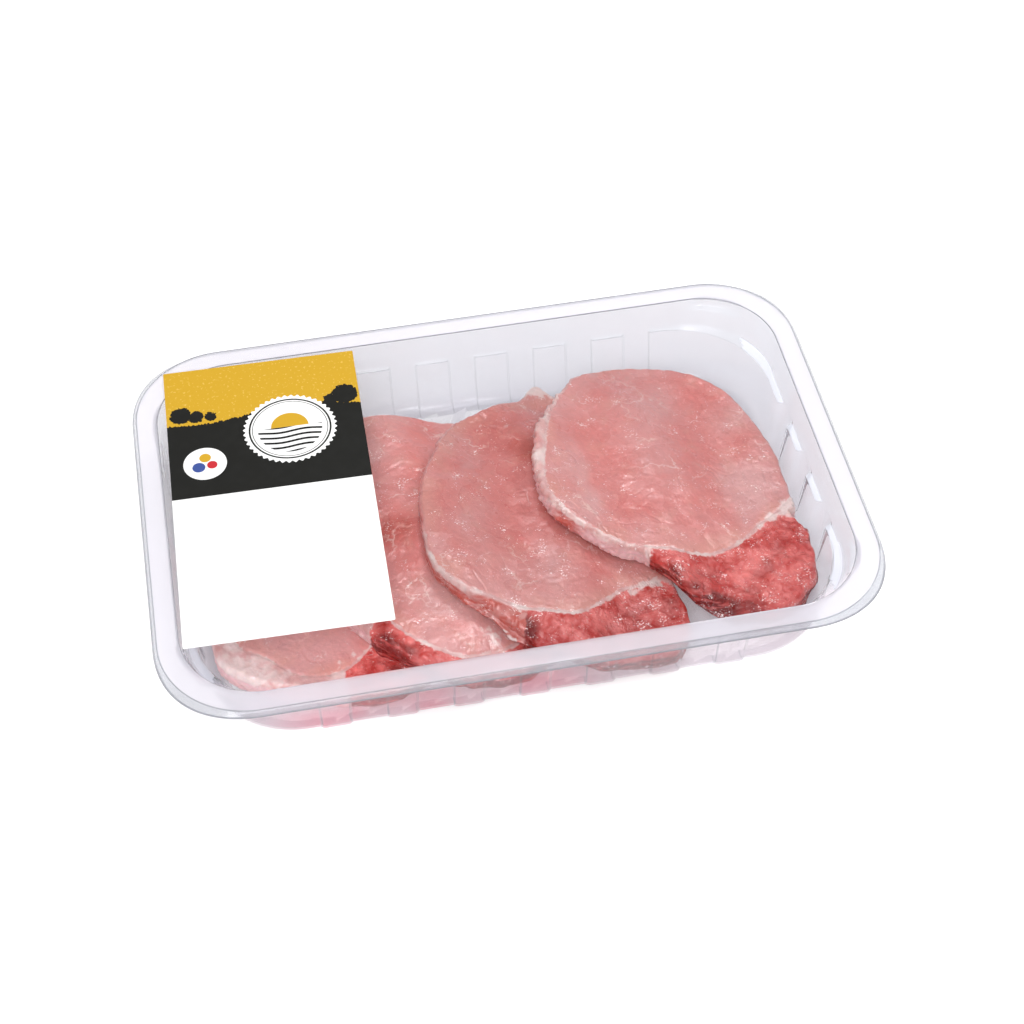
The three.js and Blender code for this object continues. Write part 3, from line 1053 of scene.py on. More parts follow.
@dataclass
class Tray:
    """The thermoformed tray: floor, fluted wall, ledge, lugs, land and lip."""

    FILLET_STEP = 15  # degrees between the rings of the floor's fillet
    RAMP_STEPS = 6  # stations on each side of a flute
    BASIN_SHARES = (0.12, 0.3, 0.5, 0.7, 0.88, 0.96, 0.985)
    LEDGE_SHARES = (0.08, 0.2, 0.5, 0.8, 0.93)
    UPPER_WALL = (  # height and share of the lugs' depth
        (22.85, 0), (23.3, 0), (25, 0), (27, 0), (29, 0), (29.5, 0.04), (29.8, 0.4),
        (30.0, 0.8), (30.25, 0.97), (30.6, 1), (31.5, 0.95), (32.5, 0.88), (33.0, 0.82),
        (33.4, 0.6), (33.7, 0.2), (33.95, 0.02), (34.2, 0),
    )
    MOUTH_RIMS = (
        Rim(0.05, 0.1, 0, TrayPart.CREASE),
        Rim(0.2, 0.02, 0, TrayPart.CREASE),
        Rim(0.5, 0.0, 0, TrayPart.LAND),
    )
    EDGE_RIMS = (
        Rim(-0.7, 0.0, 0, TrayPart.LAND),
        Rim(-0.4, 0.01, 0, TrayPart.LAND),
        Rim(0.0, 0.1, 0, TrayPart.CREASE),
        Rim(0.4, 0.5, 0.2, TrayPart.LIP),
        Rim(0.85, 1.1, 0.55, TrayPart.LIP),
        Rim(1.25, 1.65, 0.85, TrayPart.LIP),
    )
    FOLD_BAND = (0.3, 0.7)  # shares of a flute's depth between which its ramp is a fold, with painted shade
    LEVEL = 0.6  # a face whose normal rises more than this is level
    LEDGE_NEAR = 1.2  # millimetres of height in which a level face is the ledge

    sheet: float = 0.8  # thickness
    land_top: float = 34.5
    edge: Rounding = Rounding(127.5, 86.85, 33.0)  # of the land
    mouth: Rounding = Rounding(119.7, 79.05, 28.0)  # the land's inner outline
    upper: Rounding = Rounding(117.4, 77.4, 32.5)  # the wall over the ledge
    lower: Rounding = Rounding(115.0, 76.2, 35.5)  # and under it
    foot: Rounding = Rounding(113.0, 73.5, 33.0)  # the wall at the floor's fillet
    ledge_top: float = 22.6
    ledge_bottom: float = 22.0
    fillet: float = 3.0
    floor_inset: float = 2.0  # from the fillet to the first ring of the floor
    flute_start: float = 0.5  # share of the flutes' foot at that ring
    flute_foot: float = 1.1  # depth at the foot
    flute_ramp: float = 1.8  # width of each side
    long_flutes: Flutes = Flutes(7, 23.5, 0.0, 11.7)
    end_flutes: Flutes = Flutes(3, 25.9, -3.8, 13.6)
    lug_depth: float = 1.7
    lug_arcs: tuple[tuple[int, int], ...] = ((47, 83), (67, 93), (7, 43), (57, 83))
    lug_soft: float = 3.0  # degrees over which a lug starts, each way
    lip_reach: float = 1.5
    lip_drop: float = 2.0
    lip_tab: float = 1.2  # how much further the lip reaches at the corners
    corner_step: int = 3  # degrees between stations

    def _straight(self, flutes: Flutes) -> list[Pair]:
        """List the stations of one straight side, low to high.

        Args:
            flutes: Its flutes.

        Returns:
            Place and share of the flutes' depth, for each station.
        """
        steps = np.linspace(0.0, 1.0, self.RAMP_STEPS)
        ramp = [(self.flute_ramp * t, float(smooth(t, 0.0, 1.0))) for t in steps]
        made = []
        for i in range(flutes.count):
            centre = flutes.middle + (i - (flutes.count - 1) / 2) * flutes.pitch
            low, high = centre - flutes.width / 2, centre + flutes.width / 2
            made += [(low + along, depth) for along, depth in ramp]
            made += [(centre, 1.0)]
            made += [(high - along, depth) for along, depth in ramp[::-1]]
            if i + 1 < flutes.count:
                made.append((centre + flutes.pitch / 2, 0.0))
        return made

    def _stations(self) -> Stations:
        """List every station, counter-clockwise from the right side's front end.

        Returns:
            The stations.
        """
        stations = Stations()
        normals = ((1.0, 0.0), (0.0, 1.0), (-1.0, 0.0), (0.0, -1.0))
        signs = ((1.0, 1.0), (-1.0, 1.0), (-1.0, -1.0), (1.0, -1.0))
        for quarter, (normal, sign) in enumerate(zip(normals, signs)):
            side = self._straight(self.long_flutes if quarter % 2 else self.end_flutes)
            for along, flute in side[::-1] if quarter in (1, 2) else side:
                stations.append(normal, along=along, flute=flute)
            for angle in range(0, 91, self.corner_step):
                turn = math.radians(90 * quarter + angle)
                lug = float(window(angle, *self.lug_arcs[quarter], self.lug_soft))
                tab = math.sin(math.radians(2 * angle)) ** 2
                stations.append((math.cos(turn), math.sin(turn)), sign, lug=lug, tab=tab)
        return stations

    def _rows(self) -> list[WallRow]:
        """List the rings from the floor up, over the land and down the lip.

        Returns:
            The rings.
        """
        step_x = self.upper.half_x - self.lower.half_x
        step_y = self.upper.half_y - self.lower.half_y
        start = self.flute_start * self.flute_foot
        inner = self.foot.grown(-self.fillet - self.floor_inset)
        rows = [WallRow(inner, self.sheet, start, start)]
        for degrees in range(0, 91, self.FILLET_STEP):
            angle = math.radians(degrees)
            depth = self.flute_foot * (0.6 + 0.4 * degrees / 90)
            inset = self.fillet * (1 - math.sin(angle))
            z = self.sheet + self.fillet * (1 - math.cos(angle))
            rows.append(WallRow(self.foot.grown(-inset), z, depth, depth))
        base = self.sheet + self.fillet
        for share in self.BASIN_SHARES:
            depth_x = self.flute_foot + (step_x - self.flute_foot) * share
            depth_y = self.flute_foot + (step_y - self.flute_foot) * share
            z = base + (self.ledge_bottom - base) * share
            rows.append(WallRow(self.foot.toward(self.lower, share), z, depth_x, depth_y))
        for share in self.LEDGE_SHARES:
            z = self.ledge_bottom + (self.ledge_top - self.ledge_bottom) * share
            outline, left = self.lower.toward(self.upper, share), 1 - share
            rows.append(WallRow(outline, z, step_x * left, step_y * left))
        for z, lug in self.UPPER_WALL:
            share = (z - self.ledge_top) / (self.land_top - self.ledge_top)
            rows.append(WallRow(self.upper.toward(self.mouth, share), z, lug=lug))
        foot = Rim(self.lip_reach, self.lip_drop, 1, TrayPart.CREASE)
        for outline, rims in ((self.mouth, self.MOUTH_RIMS), (self.edge, (*self.EDGE_RIMS, foot))):
            for grow, drop, tab, part in rims:
                rows.append(WallRow(outline.grown(grow), self.land_top - drop, tab=tab, part=part))
        return rows

    def _part_of(
        self, face: bmesh.types.BMFace, part: TrayPart, stations: Stations, number: Any
    ) -> TrayPart:
        """Tell what a face is made as: the long walls' flute ramps are folds, which carry painted
        shade.

        Args:
            face: The face.
            part: What its strip is made as.
            stations: Places round the tray.
            number: Layer with each point's station.

        Returns:
            The face's part.
        """
        under_ledge = face.calc_center_median().z < self.ledge_bottom * MM
        if part is not TrayPart.WALL or not under_ledge:
            return part
        at = [vert[number] for vert in face.verts]
        low, high = self.FOLD_BAND
        along_wall = all(abs(stations.normal[i][1]) > 0.5 for i in at)
        on_ramp = all(low < stations.flute[i] < high for i in at)
        return TrayPart.FOLD if along_wall and on_ramp else part

    def build(self, materials: dict[TrayPart, bpy.types.Material]) -> bpy.types.Object:
        """Make the tray.

        Args:
            materials: The plastic of each part.

        Returns:
            The tray's object.
        """
        stations = self._stations()
        plan = self._rows()
        rows = [stations.ring(row, self.lug_depth, self.lip_tab) * MM for row in plan]
        bm = bmesh.new()
        number = bm.verts.layers.int.new("station")
        count = len(stations.along)
        ring = bmesh.ops.create_circle(bm, cap_ends=True, segments=count, radius=1.0)
        for i, vert in enumerate(ring["verts"]):
            vert[number] = i
            vert.co = rows[0][i]
        edges = list(bm.edges)
        for row, planned in zip(rows[1:], plan[1:]):
            made = bmesh.ops.extrude_edge_only(bm, edges=edges)["geom"]
            fresh = {item for item in made if isinstance(item, bmesh.types.BMVert)}
            for vert in fresh:
                vert.co = row[vert[number]]
            drawn = [item for item in made if isinstance(item, bmesh.types.BMEdge)]
            edges = [edge for edge in drawn if fresh.issuperset(edge.verts)]
            for face in made:
                if isinstance(face, bmesh.types.BMFace):
                    part = self._part_of(face, planned.part, stations, number)
                    face.material_index = part.value
        bmesh.ops.recalc_face_normals(bm, faces=bm.faces[:])
        floor = max(bm.faces, key=lambda face: len(face.verts))
        if floor.normal.z < 0:
            bmesh.ops.reverse_faces(bm, faces=bm.faces[:])
        bmesh.ops.solidify(bm, geom=bm.faces[:], thickness=self.sheet * MM)
        # the level faces by the end walls' ledge get the painted highlight
        for face in bm.faces:
            middle = face.calc_center_median() / MM
            near = abs(middle.z - self.ledge_bottom) < self.LEDGE_NEAR
            at_end = abs(middle.x) > self.foot.half_x - self.fillet
            if near and at_end and abs(face.normal.z) > self.LEVEL:
                face.material_index = TrayPart.LEDGE.value
        piece = finished_object(bm, "fluted_tray", materials[TrayPart.WALL])
        for part in list(TrayPart)[1:]:
            piece.data.materials.append(materials[part])
        return piece


@dataclass(frozen=True)
class Spot:
    """A round area of one cutlet, and how much pinker or fatter it is; some blush spots paint
    shade, and some paint light.
    """

    x: float
    y: float
    reach: float
    amount: float


@dataclass(frozen=True)
class Flap:
    """A lip or bulge on a cutlet's side."""

    angle: float
    half: float  # half its width, in degrees
    level: float  # 0 at the underside, 1 at the top
    spread: float  # half its height, in the same measure
    reach: float  # how far it sticks out
    lard: float  # how fat it is
    lift: float = 0.0  # how far it rises


@dataclass(frozen=True)
class CutletPlan:
    """Plan of one cutlet, with radii every 15 degrees about its centre."""

    name: str
    x: float
    y: float
    outline: tuple[float, ...]
    rim_from: int  # angle of the first width in rim
    rim: tuple[float, ...]  # widths of the fat round the eye
    seam_from: int  # angle of the first radius in seam
    seam: tuple[float, ...]  # the eye's radii along the tail
    tail: Pair  # angles between which the tail lies
    # pinker and redder spots: partly the meat's own tone, partly painted shade and, on cutlet_1,
    # painted light
    blush_and_shading: tuple[Spot, ...] = ()
    lard: tuple[Spot, ...] = ()
    flaps: tuple[Flap, ...] = ()
    slope: Pair = (0.0, 0.0)  # angles where the side slopes down from the eye
    bare: Pair = (0.0, 0.0)  # angles between which the side shows flesh
    lace: float = 0.45  # how ragged the fat's edge is
    # multiplier of the whole cutlet's colour; for cutlet_1 it is painted light where the label
    # shades it
    bright: float = 1.0

    STEP = 15
    PAST_EDGE = 6.0

    @classmethod
    def radius_at(cls, radii: tuple[float, ...], angle: Array) -> Array:
        """Read a smooth closed curve through evenly spaced radii.

        Args:
            radii: The radii, from +X counter-clockwise.
            angle: Angles in degrees.

        Returns:
            Radius at each angle.
        """
        count = len(radii)
        values = np.array(radii)
        place = (angle / cls.STEP) % count
        first = np.floor(place).astype(int)
        t = place - first
        a, b, c, d = (values[(first + k) % count] for k in (-1, 0, 1, 2))
        bend = 2 * a - 5 * b + 4 * c - d
        return b + 0.5 * t * (c - a + t * (bend + t * (3 * (b - c) + d - a)))

    def eye_radii(self) -> tuple[float, ...]:
        """Give the eye muscle's radius at each of the outline's angles."""
        made = []
        for i, radius in enumerate(self.outline):
            seam = (i * self.STEP - self.seam_from) // self.STEP
            rim = (i * self.STEP - self.rim_from) // self.STEP
            if 0 <= seam < len(self.seam):
                made.append(self.seam[seam])
            elif 0 <= rim < len(self.rim):
                made.append(radius - self.rim[rim])
            else:
                made.append(radius + self.PAST_EDGE)
        return tuple(made)

    def polar(self, x: Array, y: Array) -> tuple[Array, Array]:
        """Give angles in degrees and distances from the cutlet's centre.

        Args:
            x: Places along X.
            y: Places along Y.

        Returns:
            Angles and distances.
        """
        return np.degrees(np.arctan2(y - self.y, x - self.x)), np.hypot(x - self.x, y - self.y)


CUTLETS = (
    CutletPlan(
        name="cutlet_1", x=-66, y=-4,
        outline=(
            45, 46, 49, 54, 60, 62, 61, 62, 58, 52, 47, 44,
            43, 45, 51, 59.5, 61, 61, 64, 67, 67, 62, 54, 48,
        ),
        rim_from=105, rim=(2, 3, 4, 4, 4, 4, 5, 8),
        seam_from=225, seam=(49.5, 50, 55, 53.5, 46, 43, 50, 60),
        tail=(271, 322),
        # the first two blush spots are paler: painted light where the label shades this cutlet
        blush_and_shading=(Spot(-79, -44, 22, -1.2), Spot(-100, -30, 20, -0.6), Spot(-47, -62, 9, 0.8)),
        lard=(
            Spot(-106, -45.4, 9, 0.4), Spot(-72, -60, 4, 0.5), Spot(-66.5, -55, 4, 0.6),
            Spot(-61, -51.5, 4, 0.6),
        ),
        # painted light: brighter, where the label shades this cutlet
        bright=1.32,
    ),
    CutletPlan(
        name="cutlet_2", x=-27, y=-4,
        outline=(
            46, 48, 52, 57, 62, 60, 60, 60, 60, 57, 53, 50,
            49, 48, 47, 50, 55, 62, 67, 69, 70, 63, 54, 49,
        ),
        rim_from=105, rim=(1.5, 1.5, 1.5, 1.5, 1.5, 1.5, 1.5, 1.5, 2.2),
        seam_from=240, seam=(45, 52.8, 60.3, 60.5, 57.5, 56, 58, 62),
        tail=(240, 318),
        blush_and_shading=(
            # the first blush spot is painted shade, darker and redder at the left
            Spot(-37, -7, 26, 1.4), Spot(-26.5, 38.4, 18, 0.2), Spot(-31.5, -41.3, 18, -0.7),
            Spot(-22, 18, 16, 0.9), Spot(-20, 47, 12, 0.7), Spot(-18, -46, 14, -0.3),
            Spot(-50, -57, 9, 1.0), Spot(-43, -63, 8, 0.8),
        ),
        lard=(
            Spot(-20.7, -61, 7, 0.45), Spot(-10.6, -58.4, 9, 0.62), Spot(-14, -54, 6, 0.3),
            Spot(-30, -60, 4, 0.3),
        ),
    ),
    CutletPlan(
        name="cutlet_3", x=18, y=-5,
        outline=(
            46, 47.5, 51.5, 57, 62, 66, 61, 55.3, 54, 48.8, 45.6, 46.5,
            47.4, 49.4, 54.3, 56, 55, 61, 66, 69, 74, 56, 46, 44,
        ),
        rim_from=75, rim=(1.2, 1.2, 1.2, 1.2, 1.0, 1.0, 1.0, 1.0, 1.0, 1.1, 1.5),
        seam_from=240, seam=(50, 49.2, 50.3, 45, 42.4, 48.5, 56, 60),
        tail=(251, 315),
        blush_and_shading=(
            Spot(8.4, 38.4, 24, 0.9), Spot(-7, -7, 20, -0.2), Spot(12, -31, 22, -0.9),
            # Spot(20, 22) and Spot(30, -8) are painted shade under cutlet_4's edge
            Spot(-23, 20, 14, 0.3), Spot(20, 22, 16, 1.2), Spot(-16, 14, 9, 0.6),
            Spot(30, -8, 16, 0.8), Spot(38, -25, 14, -0.2), Spot(-1, -60, 9, 1.3),
            Spot(54, -52, 8, 0.8), Spot(8, -8, 52, 0.9), Spot(28, -40, 16, 0.5),
        ),
        lard=(
            Spot(42.1, -43.6, 4, 0.9), Spot(46.5, -41.5, 4, 0.9), Spot(51, -40.5, 5, 1.0),
            Spot(-0.8, -52, 5, 0.7), Spot(33, -47.5, 4, 0.5), Spot(-24, -36, 6, 0.5),
            Spot(4, 48, 14, -1.0), Spot(-10, 41, 14, -1.0), Spot(-18, 29, 14, -1.0),
            Spot(-23, 17, 14, -1.0), Spot(-27, 6, 14, -1.0), Spot(-29, -6, 13, -0.9),
            Spot(-30, -17, 9, -0.6), Spot(26.5, 64.5, 7, 1.2),
        ),
        flaps=(
            Flap(246, 6, 0.3, 0.25, 3.0, 0.75), Flap(83, 4.3, 0.8, 0.5, 7.5, 1.0, 2.6),
            Flap(232, 7, 0.2, 0.3, 1.6, 0.0), Flap(309, 5, 0.4, 1.2, 3.5, 0.0),
        ),
        slope=(229, 262),
        bare=(196, 262),
        bright=0.84,
    ),
    CutletPlan(
        name="cutlet_4", x=64, y=-2,
        outline=(
            46.8, 48.8, 52, 58.2, 65.4, 69.3, 71.2, 67.6, 61, 54.5, 51.5, 49.5,
            48.5, 46.7, 42, 38, 35.3, 39.5, 51, 59.5, 66, 64.5, 54.8, 49.2,
        ),
        rim_from=105, rim=(0.7, 1.8, 2.8, 4.6, 4.4, 3.0, 2.0, 1.3, 1.7, 1.4),
        seam_from=255, seam=(32.6, 32.6, 32.7, 32.8, 34.2, 36.8, 44, 60),
        tail=(247, 338),
        blush_and_shading=(
            Spot(35.5, 27.8, 16, 0.6), Spot(59, 54.5, 18, 0.6), Spot(92, 48, 20, 0.5),
            Spot(101, 21, 14, 0.6), Spot(61.5, 13.8, 22, -0.5), Spot(94.6, -3.5, 18, -1.0),
            Spot(33, -10, 10, -0.3), Spot(50, -12, 14, 0.3), Spot(55, -46, 9, 1.1),
            Spot(65, -54, 10, 1.3), Spot(74, -57, 9, 1.1), Spot(84, -58, 8, 0.8),
            Spot(93, -40, 6, 0.7), Spot(64, 12, 62, 0.45),
        ),
        lard=(
            Spot(106.9, -15.1, 6, 1.1), Spot(101, -18.5, 5, 0.9), Spot(95.5, -22, 5, 0.8),
            Spot(90, -26, 4, 0.6), Spot(84, -29.5, 4, 0.5), Spot(76, -33, 3, 0.3),
            Spot(50, -35, 4, 0.6), Spot(38, -26, 6, 0.3), Spot(18, 20, 14, -0.55),
            Spot(15, 3, 12, -0.45),
        ),
        flaps=(
            Flap(198, 6, 0.3, 0.3, 1.6, 0.0), Flap(340, 3.2, 0.5, 1.5, -4.5, 0.0),
            Flap(333, 4, 0.8, 0.4, 1.2, 0.0),
        ),
        bare=(195, 208),
        lace=0.9,
        bright=0.93,
    ),
)


@dataclass
class Stack:
    """How the cutlets lie on the tray's floor and on one another."""

    tray: Tray
    thickness: float = 10.4  # of a cutlet
    gap: float = 0.4  # between a cutlet and what it lies on
    drape_out: float = 28.0  # where a cutlet starts to rise, outside the one below
    drape_in: float = 4.0  # where it lies flat on it, inside

    def tray_height(self, x: Array, y: Array) -> Array:
        """Give the height of the tray's inside: floor, then the fillet.

        Args:
            x: Places along X.
            y: Places along Y.

        Returns:
            Heights.
        """
        foot, fillet = self.tray.foot, self.tray.fillet
        over_x = np.abs(x) - (foot.half_x - foot.radius)
        over_y = np.abs(y) - (foot.half_y - foot.radius)
        corner = np.hypot(np.maximum(over_x, 0), np.maximum(over_y, 0))
        inside = foot.radius - corner - np.minimum(np.maximum(over_x, over_y), 0)
        into = np.clip(fillet - inside, 0, fillet)
        return self.tray.sheet + fillet - np.sqrt(fillet**2 - into**2)

    def underside(self, index: int, x: Array, y: Array) -> Array:
        """Give the height of a cutlet's underside.

        Args:
            index: Which cutlet.
            x: Places along X.
            y: Places along Y.

        Returns:
            Heights.
        """
        floor = self.tray_height(x, y) + self.gap
        if index == 0:
            return floor
        below = CUTLETS[index - 1]
        angle, radius = below.polar(x, y)
        inside = below.radius_at(below.outline, angle) - radius
        carried = self.underside(index - 1, x, y) + self.thickness + self.gap
        return floor + smooth(inside, -self.drape_out, self.drape_in) * (carried - floor)


@dataclass
class Blank:
    """What each point of a cutlet's blank is, before the blank is draped."""

    share: Array  # of the way from the centre to the rim
    level: Array  # 0 on the underside, 1 on the top, between on the side
    angle: Array  # in degrees
    edge: Array  # the outline's radius at the angle
    eye: Array  # the eye muscle's radius at the angle
    tail_side: Array  # 1 where the side is the tail muscle's
    fat_side: Array  # 1 where the side is fat

    RIM = (0.88, 1.0)  # shares of the radius over which the side's relief comes in

    @property
    def near_rim(self) -> Array:
        """Give 1 on the side, fading to 0 inward."""
        return smooth(self.share, *self.RIM)


@dataclass
class Cutlet:
    """One cutlet: a thick slab with rounded edges, draped over what it lies on."""

    SEED = 31  # of the first cutlet's noise
    TINY = 1e-9
    PHASE = 1.7  # radians that the swell is moved from one cutlet to the next
    SWELL = (0.35, 8.5, 10.5)  # height of the broad swell, and its lengths over 2 pi
    EYE = (Layer(0.28, 1.0, 8.0), Layer(0.09, 0.0, 2.4), Layer(0.05, 9.0, 1.2))
    TAIL = (Layer(1.0, 2.0, 9.0), Layer(0.6, 2.5, 4.2), Layer(0.35, 4.0, 2.0))
    TAIL_SINK = 0.5
    FAT = (Layer(0.22, 6.0, 2.6), Layer(0.1, 7.0, 1.3))
    FAT_RISE = 0.1
    BEND_X = (Layer(2.5, 8.0, 9.0),)  # how far the creases are pushed along X
    BEND_Y = (Layer(2.5, 12.0, 9.0),)  # and along Y
    CREASES = (Layer(0.26, 3.3, 12.0), Layer(0.14, 15.0, 6.5))
    CREASE_WIDTH = 0.08  # of the noise that draws them
    CREASE_RUN = 15.0  # about how long a crease is before it breaks
    GROOVE = (0.35, 0.2, 0.5)  # of the seam: depth, place outside the eye, half width
    SIDE = (Layer(0.55, 0.4, 7.0), Layer(0.3, 1.0, 3.0))
    TAIL_SIDE = (Layer(1.1, 0.5, 9.0), Layer(0.5, 3.0, 4.0))
    STRIPES = (Layer(0.35, 1.0, 1.1),)
    STRIPE_LENGTH = 0.15  # how much slower the stripes change along the rim
    LACE = (Layer(1.0, 1.0, 1.7),)
    TAIL_OFF = 1.5  # millimetres of fat between the eye and the tail
    TAIL_SIDE_FADE = (-3.0, 4.0)  # of the side's depth in the tail
    FAT_SIDE_FADE = (-2.5, 0.5)  # of the side's depth in the eye
    EYE_FADE = (-0.6, 1.2)  # of the depth in the eye, for the relief
    TAIL_FADE = (-0.6, 1.6)  # of the depth in the tail
    SIDE_FADE = (0.985, 1.0)  # of the share of the radius
    TOP_FADE = (0.8, 0.97)  # of the level
    SLOPE_FADE = (1.4, 2.2)  # of the distance outside the eye where a slope shows flesh
    SLOPE_SOFT = 6.0  # degrees
    BARE_SOFT = 5.0  # degrees

    stack: Stack
    index: int
    cells: int = 196
    side_rows: int = 7
    shoulder: Pair = (1.7, 2.6)  # width and height of the top's rounding
    shoulder_tail: Pair = (1.3, 1.0)  # how much more the tail has
    slope_start: float = 1.0  # how far outside the eye a slope starts
    slope_reach: float = 9.0  # widest slope between there and the side
    belly: Pair = (3.0, 2.6)  # width and height of the underside's rounding
    density: float = 1.3  # how much closer the rings stand at the rim
    floor_gap: float = 0.15  # least height over the tray

    @property
    def plan(self) -> CutletPlan:
        """Give the cutlet's plan."""
        return CUTLETS[self.index]

    def _flat(self) -> bmesh.types.BMesh:
        """Make the flat blank: two grids joined by rows along the side."""
        bm = bmesh.new()
        bmesh.ops.create_grid(bm, x_segments=self.cells, y_segments=self.cells, size=1.0)
        bmesh.ops.solidify(bm, geom=bm.faces[:], thickness=1.0)
        side = [e for e in bm.edges if abs(e.verts[0].co.z - e.verts[1].co.z) > 0.5]
        bmesh.ops.subdivide_edges(bm, edges=side, cuts=self.side_rows, use_grid_fill=True)
        return bm

    def _disc(self, u: Array, v: Array) -> tuple[Array, Array]:
        """Turn a square's places into a disc's.

        Args:
            u: Places from -1 to 1.
            v: Places from -1 to 1.

        Returns:
            Share of the radius and angle in degrees.
        """
        wide = np.abs(u) >= np.abs(v)
        share = np.maximum(np.abs(u), np.abs(v))
        safe_u, safe_v = (np.where(np.abs(w) < self.TINY, self.TINY, w) for w in (u, v))
        angle = np.where(wide, 45 * v / safe_u, 90 - 45 * u / safe_v)
        angle = np.where(np.where(wide, u, v) < 0, angle + 180, angle)
        return share, np.where(share < self.TINY, 0.0, angle) % 360

    def _blank(self, mesh: bpy.types.Mesh) -> Blank:
        """Tell what each point of the flat blank is.

        Args:
            mesh: The flat blank.

        Returns:
            What its points are.
        """
        flat = np.empty(3 * len(mesh.vertices))
        mesh.vertices.foreach_get("co", flat)
        u, v, w = flat.reshape(-1, 3).T
        share, angle = self._disc(u, v)
        edge = self.plan.radius_at(self.plan.outline, angle)
        eye = self.plan.radius_at(self.plan.eye_radii(), angle)
        return Blank(
            share=1 - (1 - share) ** self.density,
            level=np.clip(w + 1.0, 0.0, 1.0),
            angle=angle,
            edge=edge,
            eye=eye,
            tail_side=smooth(self._tail_depth(angle, edge, eye), *self.TAIL_SIDE_FADE),
            fat_side=1 - smooth(eye - edge, *self.FAT_SIDE_FADE),
        )

    def _tail_depth(self, angle: Array, radius: Array, eye: Array) -> Array:
        """Give how far points lie inside the tail muscle.

        Args:
            angle: Angles in degrees.
            radius: Distances from the centre.
            eye: The eye muscle's radius at each angle.

        Returns:
            Millimetres, negative outside.
        """
        start, stop = self.plan.tail
        middle, half = (start + stop) / 2, (stop - start) / 2
        across = np.radians(half - np.abs(turned(angle, middle))) * radius
        return np.minimum(radius - eye - self.TAIL_OFF, across)

    def _wander(self, noise: SmoothNoise, blank: Blank) -> Array:
        """Give how far the side wanders out and in.

        Args:
            noise: The cutlet's own noise.
            blank: What the points are.

        Returns:
            Millimetres outward.
        """
        height, turn = blank.level * self.stack.thickness, np.radians(blank.angle)
        x, y = blank.edge * np.cos(turn), blank.edge * np.sin(turn)
        long_x, long_y = x * self.STRIPE_LENGTH, y * self.STRIPE_LENGTH
        tail = noise.layers(x, y, self.TAIL_SIDE, height)
        tail += noise.layers(long_x, long_y, self.STRIPES, height)
        fat = blank.fat_side * (1 - blank.tail_side) * self.plan.lace
        lace = fat * noise.layers(x, y, self.LACE, height)
        return noise.layers(x, y, self.SIDE, height) + blank.tail_side * tail + lace

    def _flaps(self, blank: Blank) -> tuple[Array, Array, Array]:
        """Give what the flaps add.

        Args:
            blank: What the points are.

        Returns:
            Millimetres outward, fat, and millimetres upward.
        """
        reach, lard, lift = (np.zeros_like(blank.share) for _ in range(3))
        for flap in self.plan.flaps:
            across = turned(blank.angle, flap.angle) / flap.half
            up = (blank.level - flap.level) / flap.spread
            weight = np.exp(-(across**2) - up**2) * blank.near_rim
            reach += flap.reach * weight
            lard += flap.lard * weight
            lift += flap.lift * weight
        return reach, lard, lift

    @staticmethod
    def _spotted(x: Array, y: Array, spots: tuple[Spot, ...]) -> Array:
        """Add up spots.

        Args:
            x: Places along X.
            y: Places along Y.
            spots: The spots.

        Returns:
            Their amount at each place.
        """
        total = np.zeros_like(x)
        for spot in spots:
            away = np.hypot(x - spot.x, y - spot.y)
            total += spot.amount * (1 - smooth(away, 0.0, spot.reach))
        return total

    def build(self, material: bpy.types.Material) -> bpy.types.Object:
        """Make the cutlet.

        Args:
            material: Raw pork.

        Returns:
            The cutlet's object.
        """
        plan, noise = self.plan, SmoothNoise(self.SEED + self.index)
        piece = finished_object(self._flat(), f"pork_{plan.name}", material)
        mesh = piece.data
        blank = self._blank(mesh)
        radius = blank.edge * blank.share
        eye_depth = blank.eye - radius
        tail_depth = self._tail_depth(blank.angle, radius, blank.eye)

        reach, lard, lift = self._flaps(blank)
        radius = radius + blank.near_rim * (self._wander(noise, blank) + reach)
        turn = np.radians(blank.angle)
        x, y = plan.x + radius * np.cos(turn), plan.y + radius * np.sin(turn)
        sloping = window(blank.angle, *plan.slope, self.SLOPE_SOFT)
        relief = self._relief(noise, x, y, eye_depth, tail_depth, blank.share)
        z = self.stack.underside(self.index, x, y) + self._profile(blank, sloping)
        z += blank.level * relief + lift
        z = np.maximum(z, self.stack.tray_height(x, y) + self.floor_gap)
        mesh.vertices.foreach_set("co", (np.column_stack([x, y, z]) * MM).ravel())

        side = smooth(blank.share, *self.SIDE_FADE) * (1 - smooth(blank.level, *self.TOP_FADE))
        flesh = np.maximum(side, sloping * smooth(-eye_depth, *self.SLOPE_FADE))
        traits = {
            "eye_depth": eye_depth,
            "tail_depth": tail_depth,
            # blush: partly the meat's own tone, partly painted shade and painted light
            "blush_and_shading": self._spotted(x, y, plan.blush_and_shading),
            "lard": lard + self._spotted(x, y, plan.lard),
            # side: also where the tail gets its painted shade
            "side": side,
            "flesh": flesh * window(blank.angle, *plan.bare, self.BARE_SOFT),
            # hollow: where the painted shade of the hollows goes
            "hollow": relief.mean() - relief,
            # bright: the cutlet's brightness, partly painted light
            "bright": np.full_like(x, plan.bright),
        }
        for name, values in traits.items():
            attribute = mesh.attributes.new(name, "FLOAT", "POINT")
            attribute.data.foreach_set("value", values.astype(np.float32))
        mesh.update()
        return piece

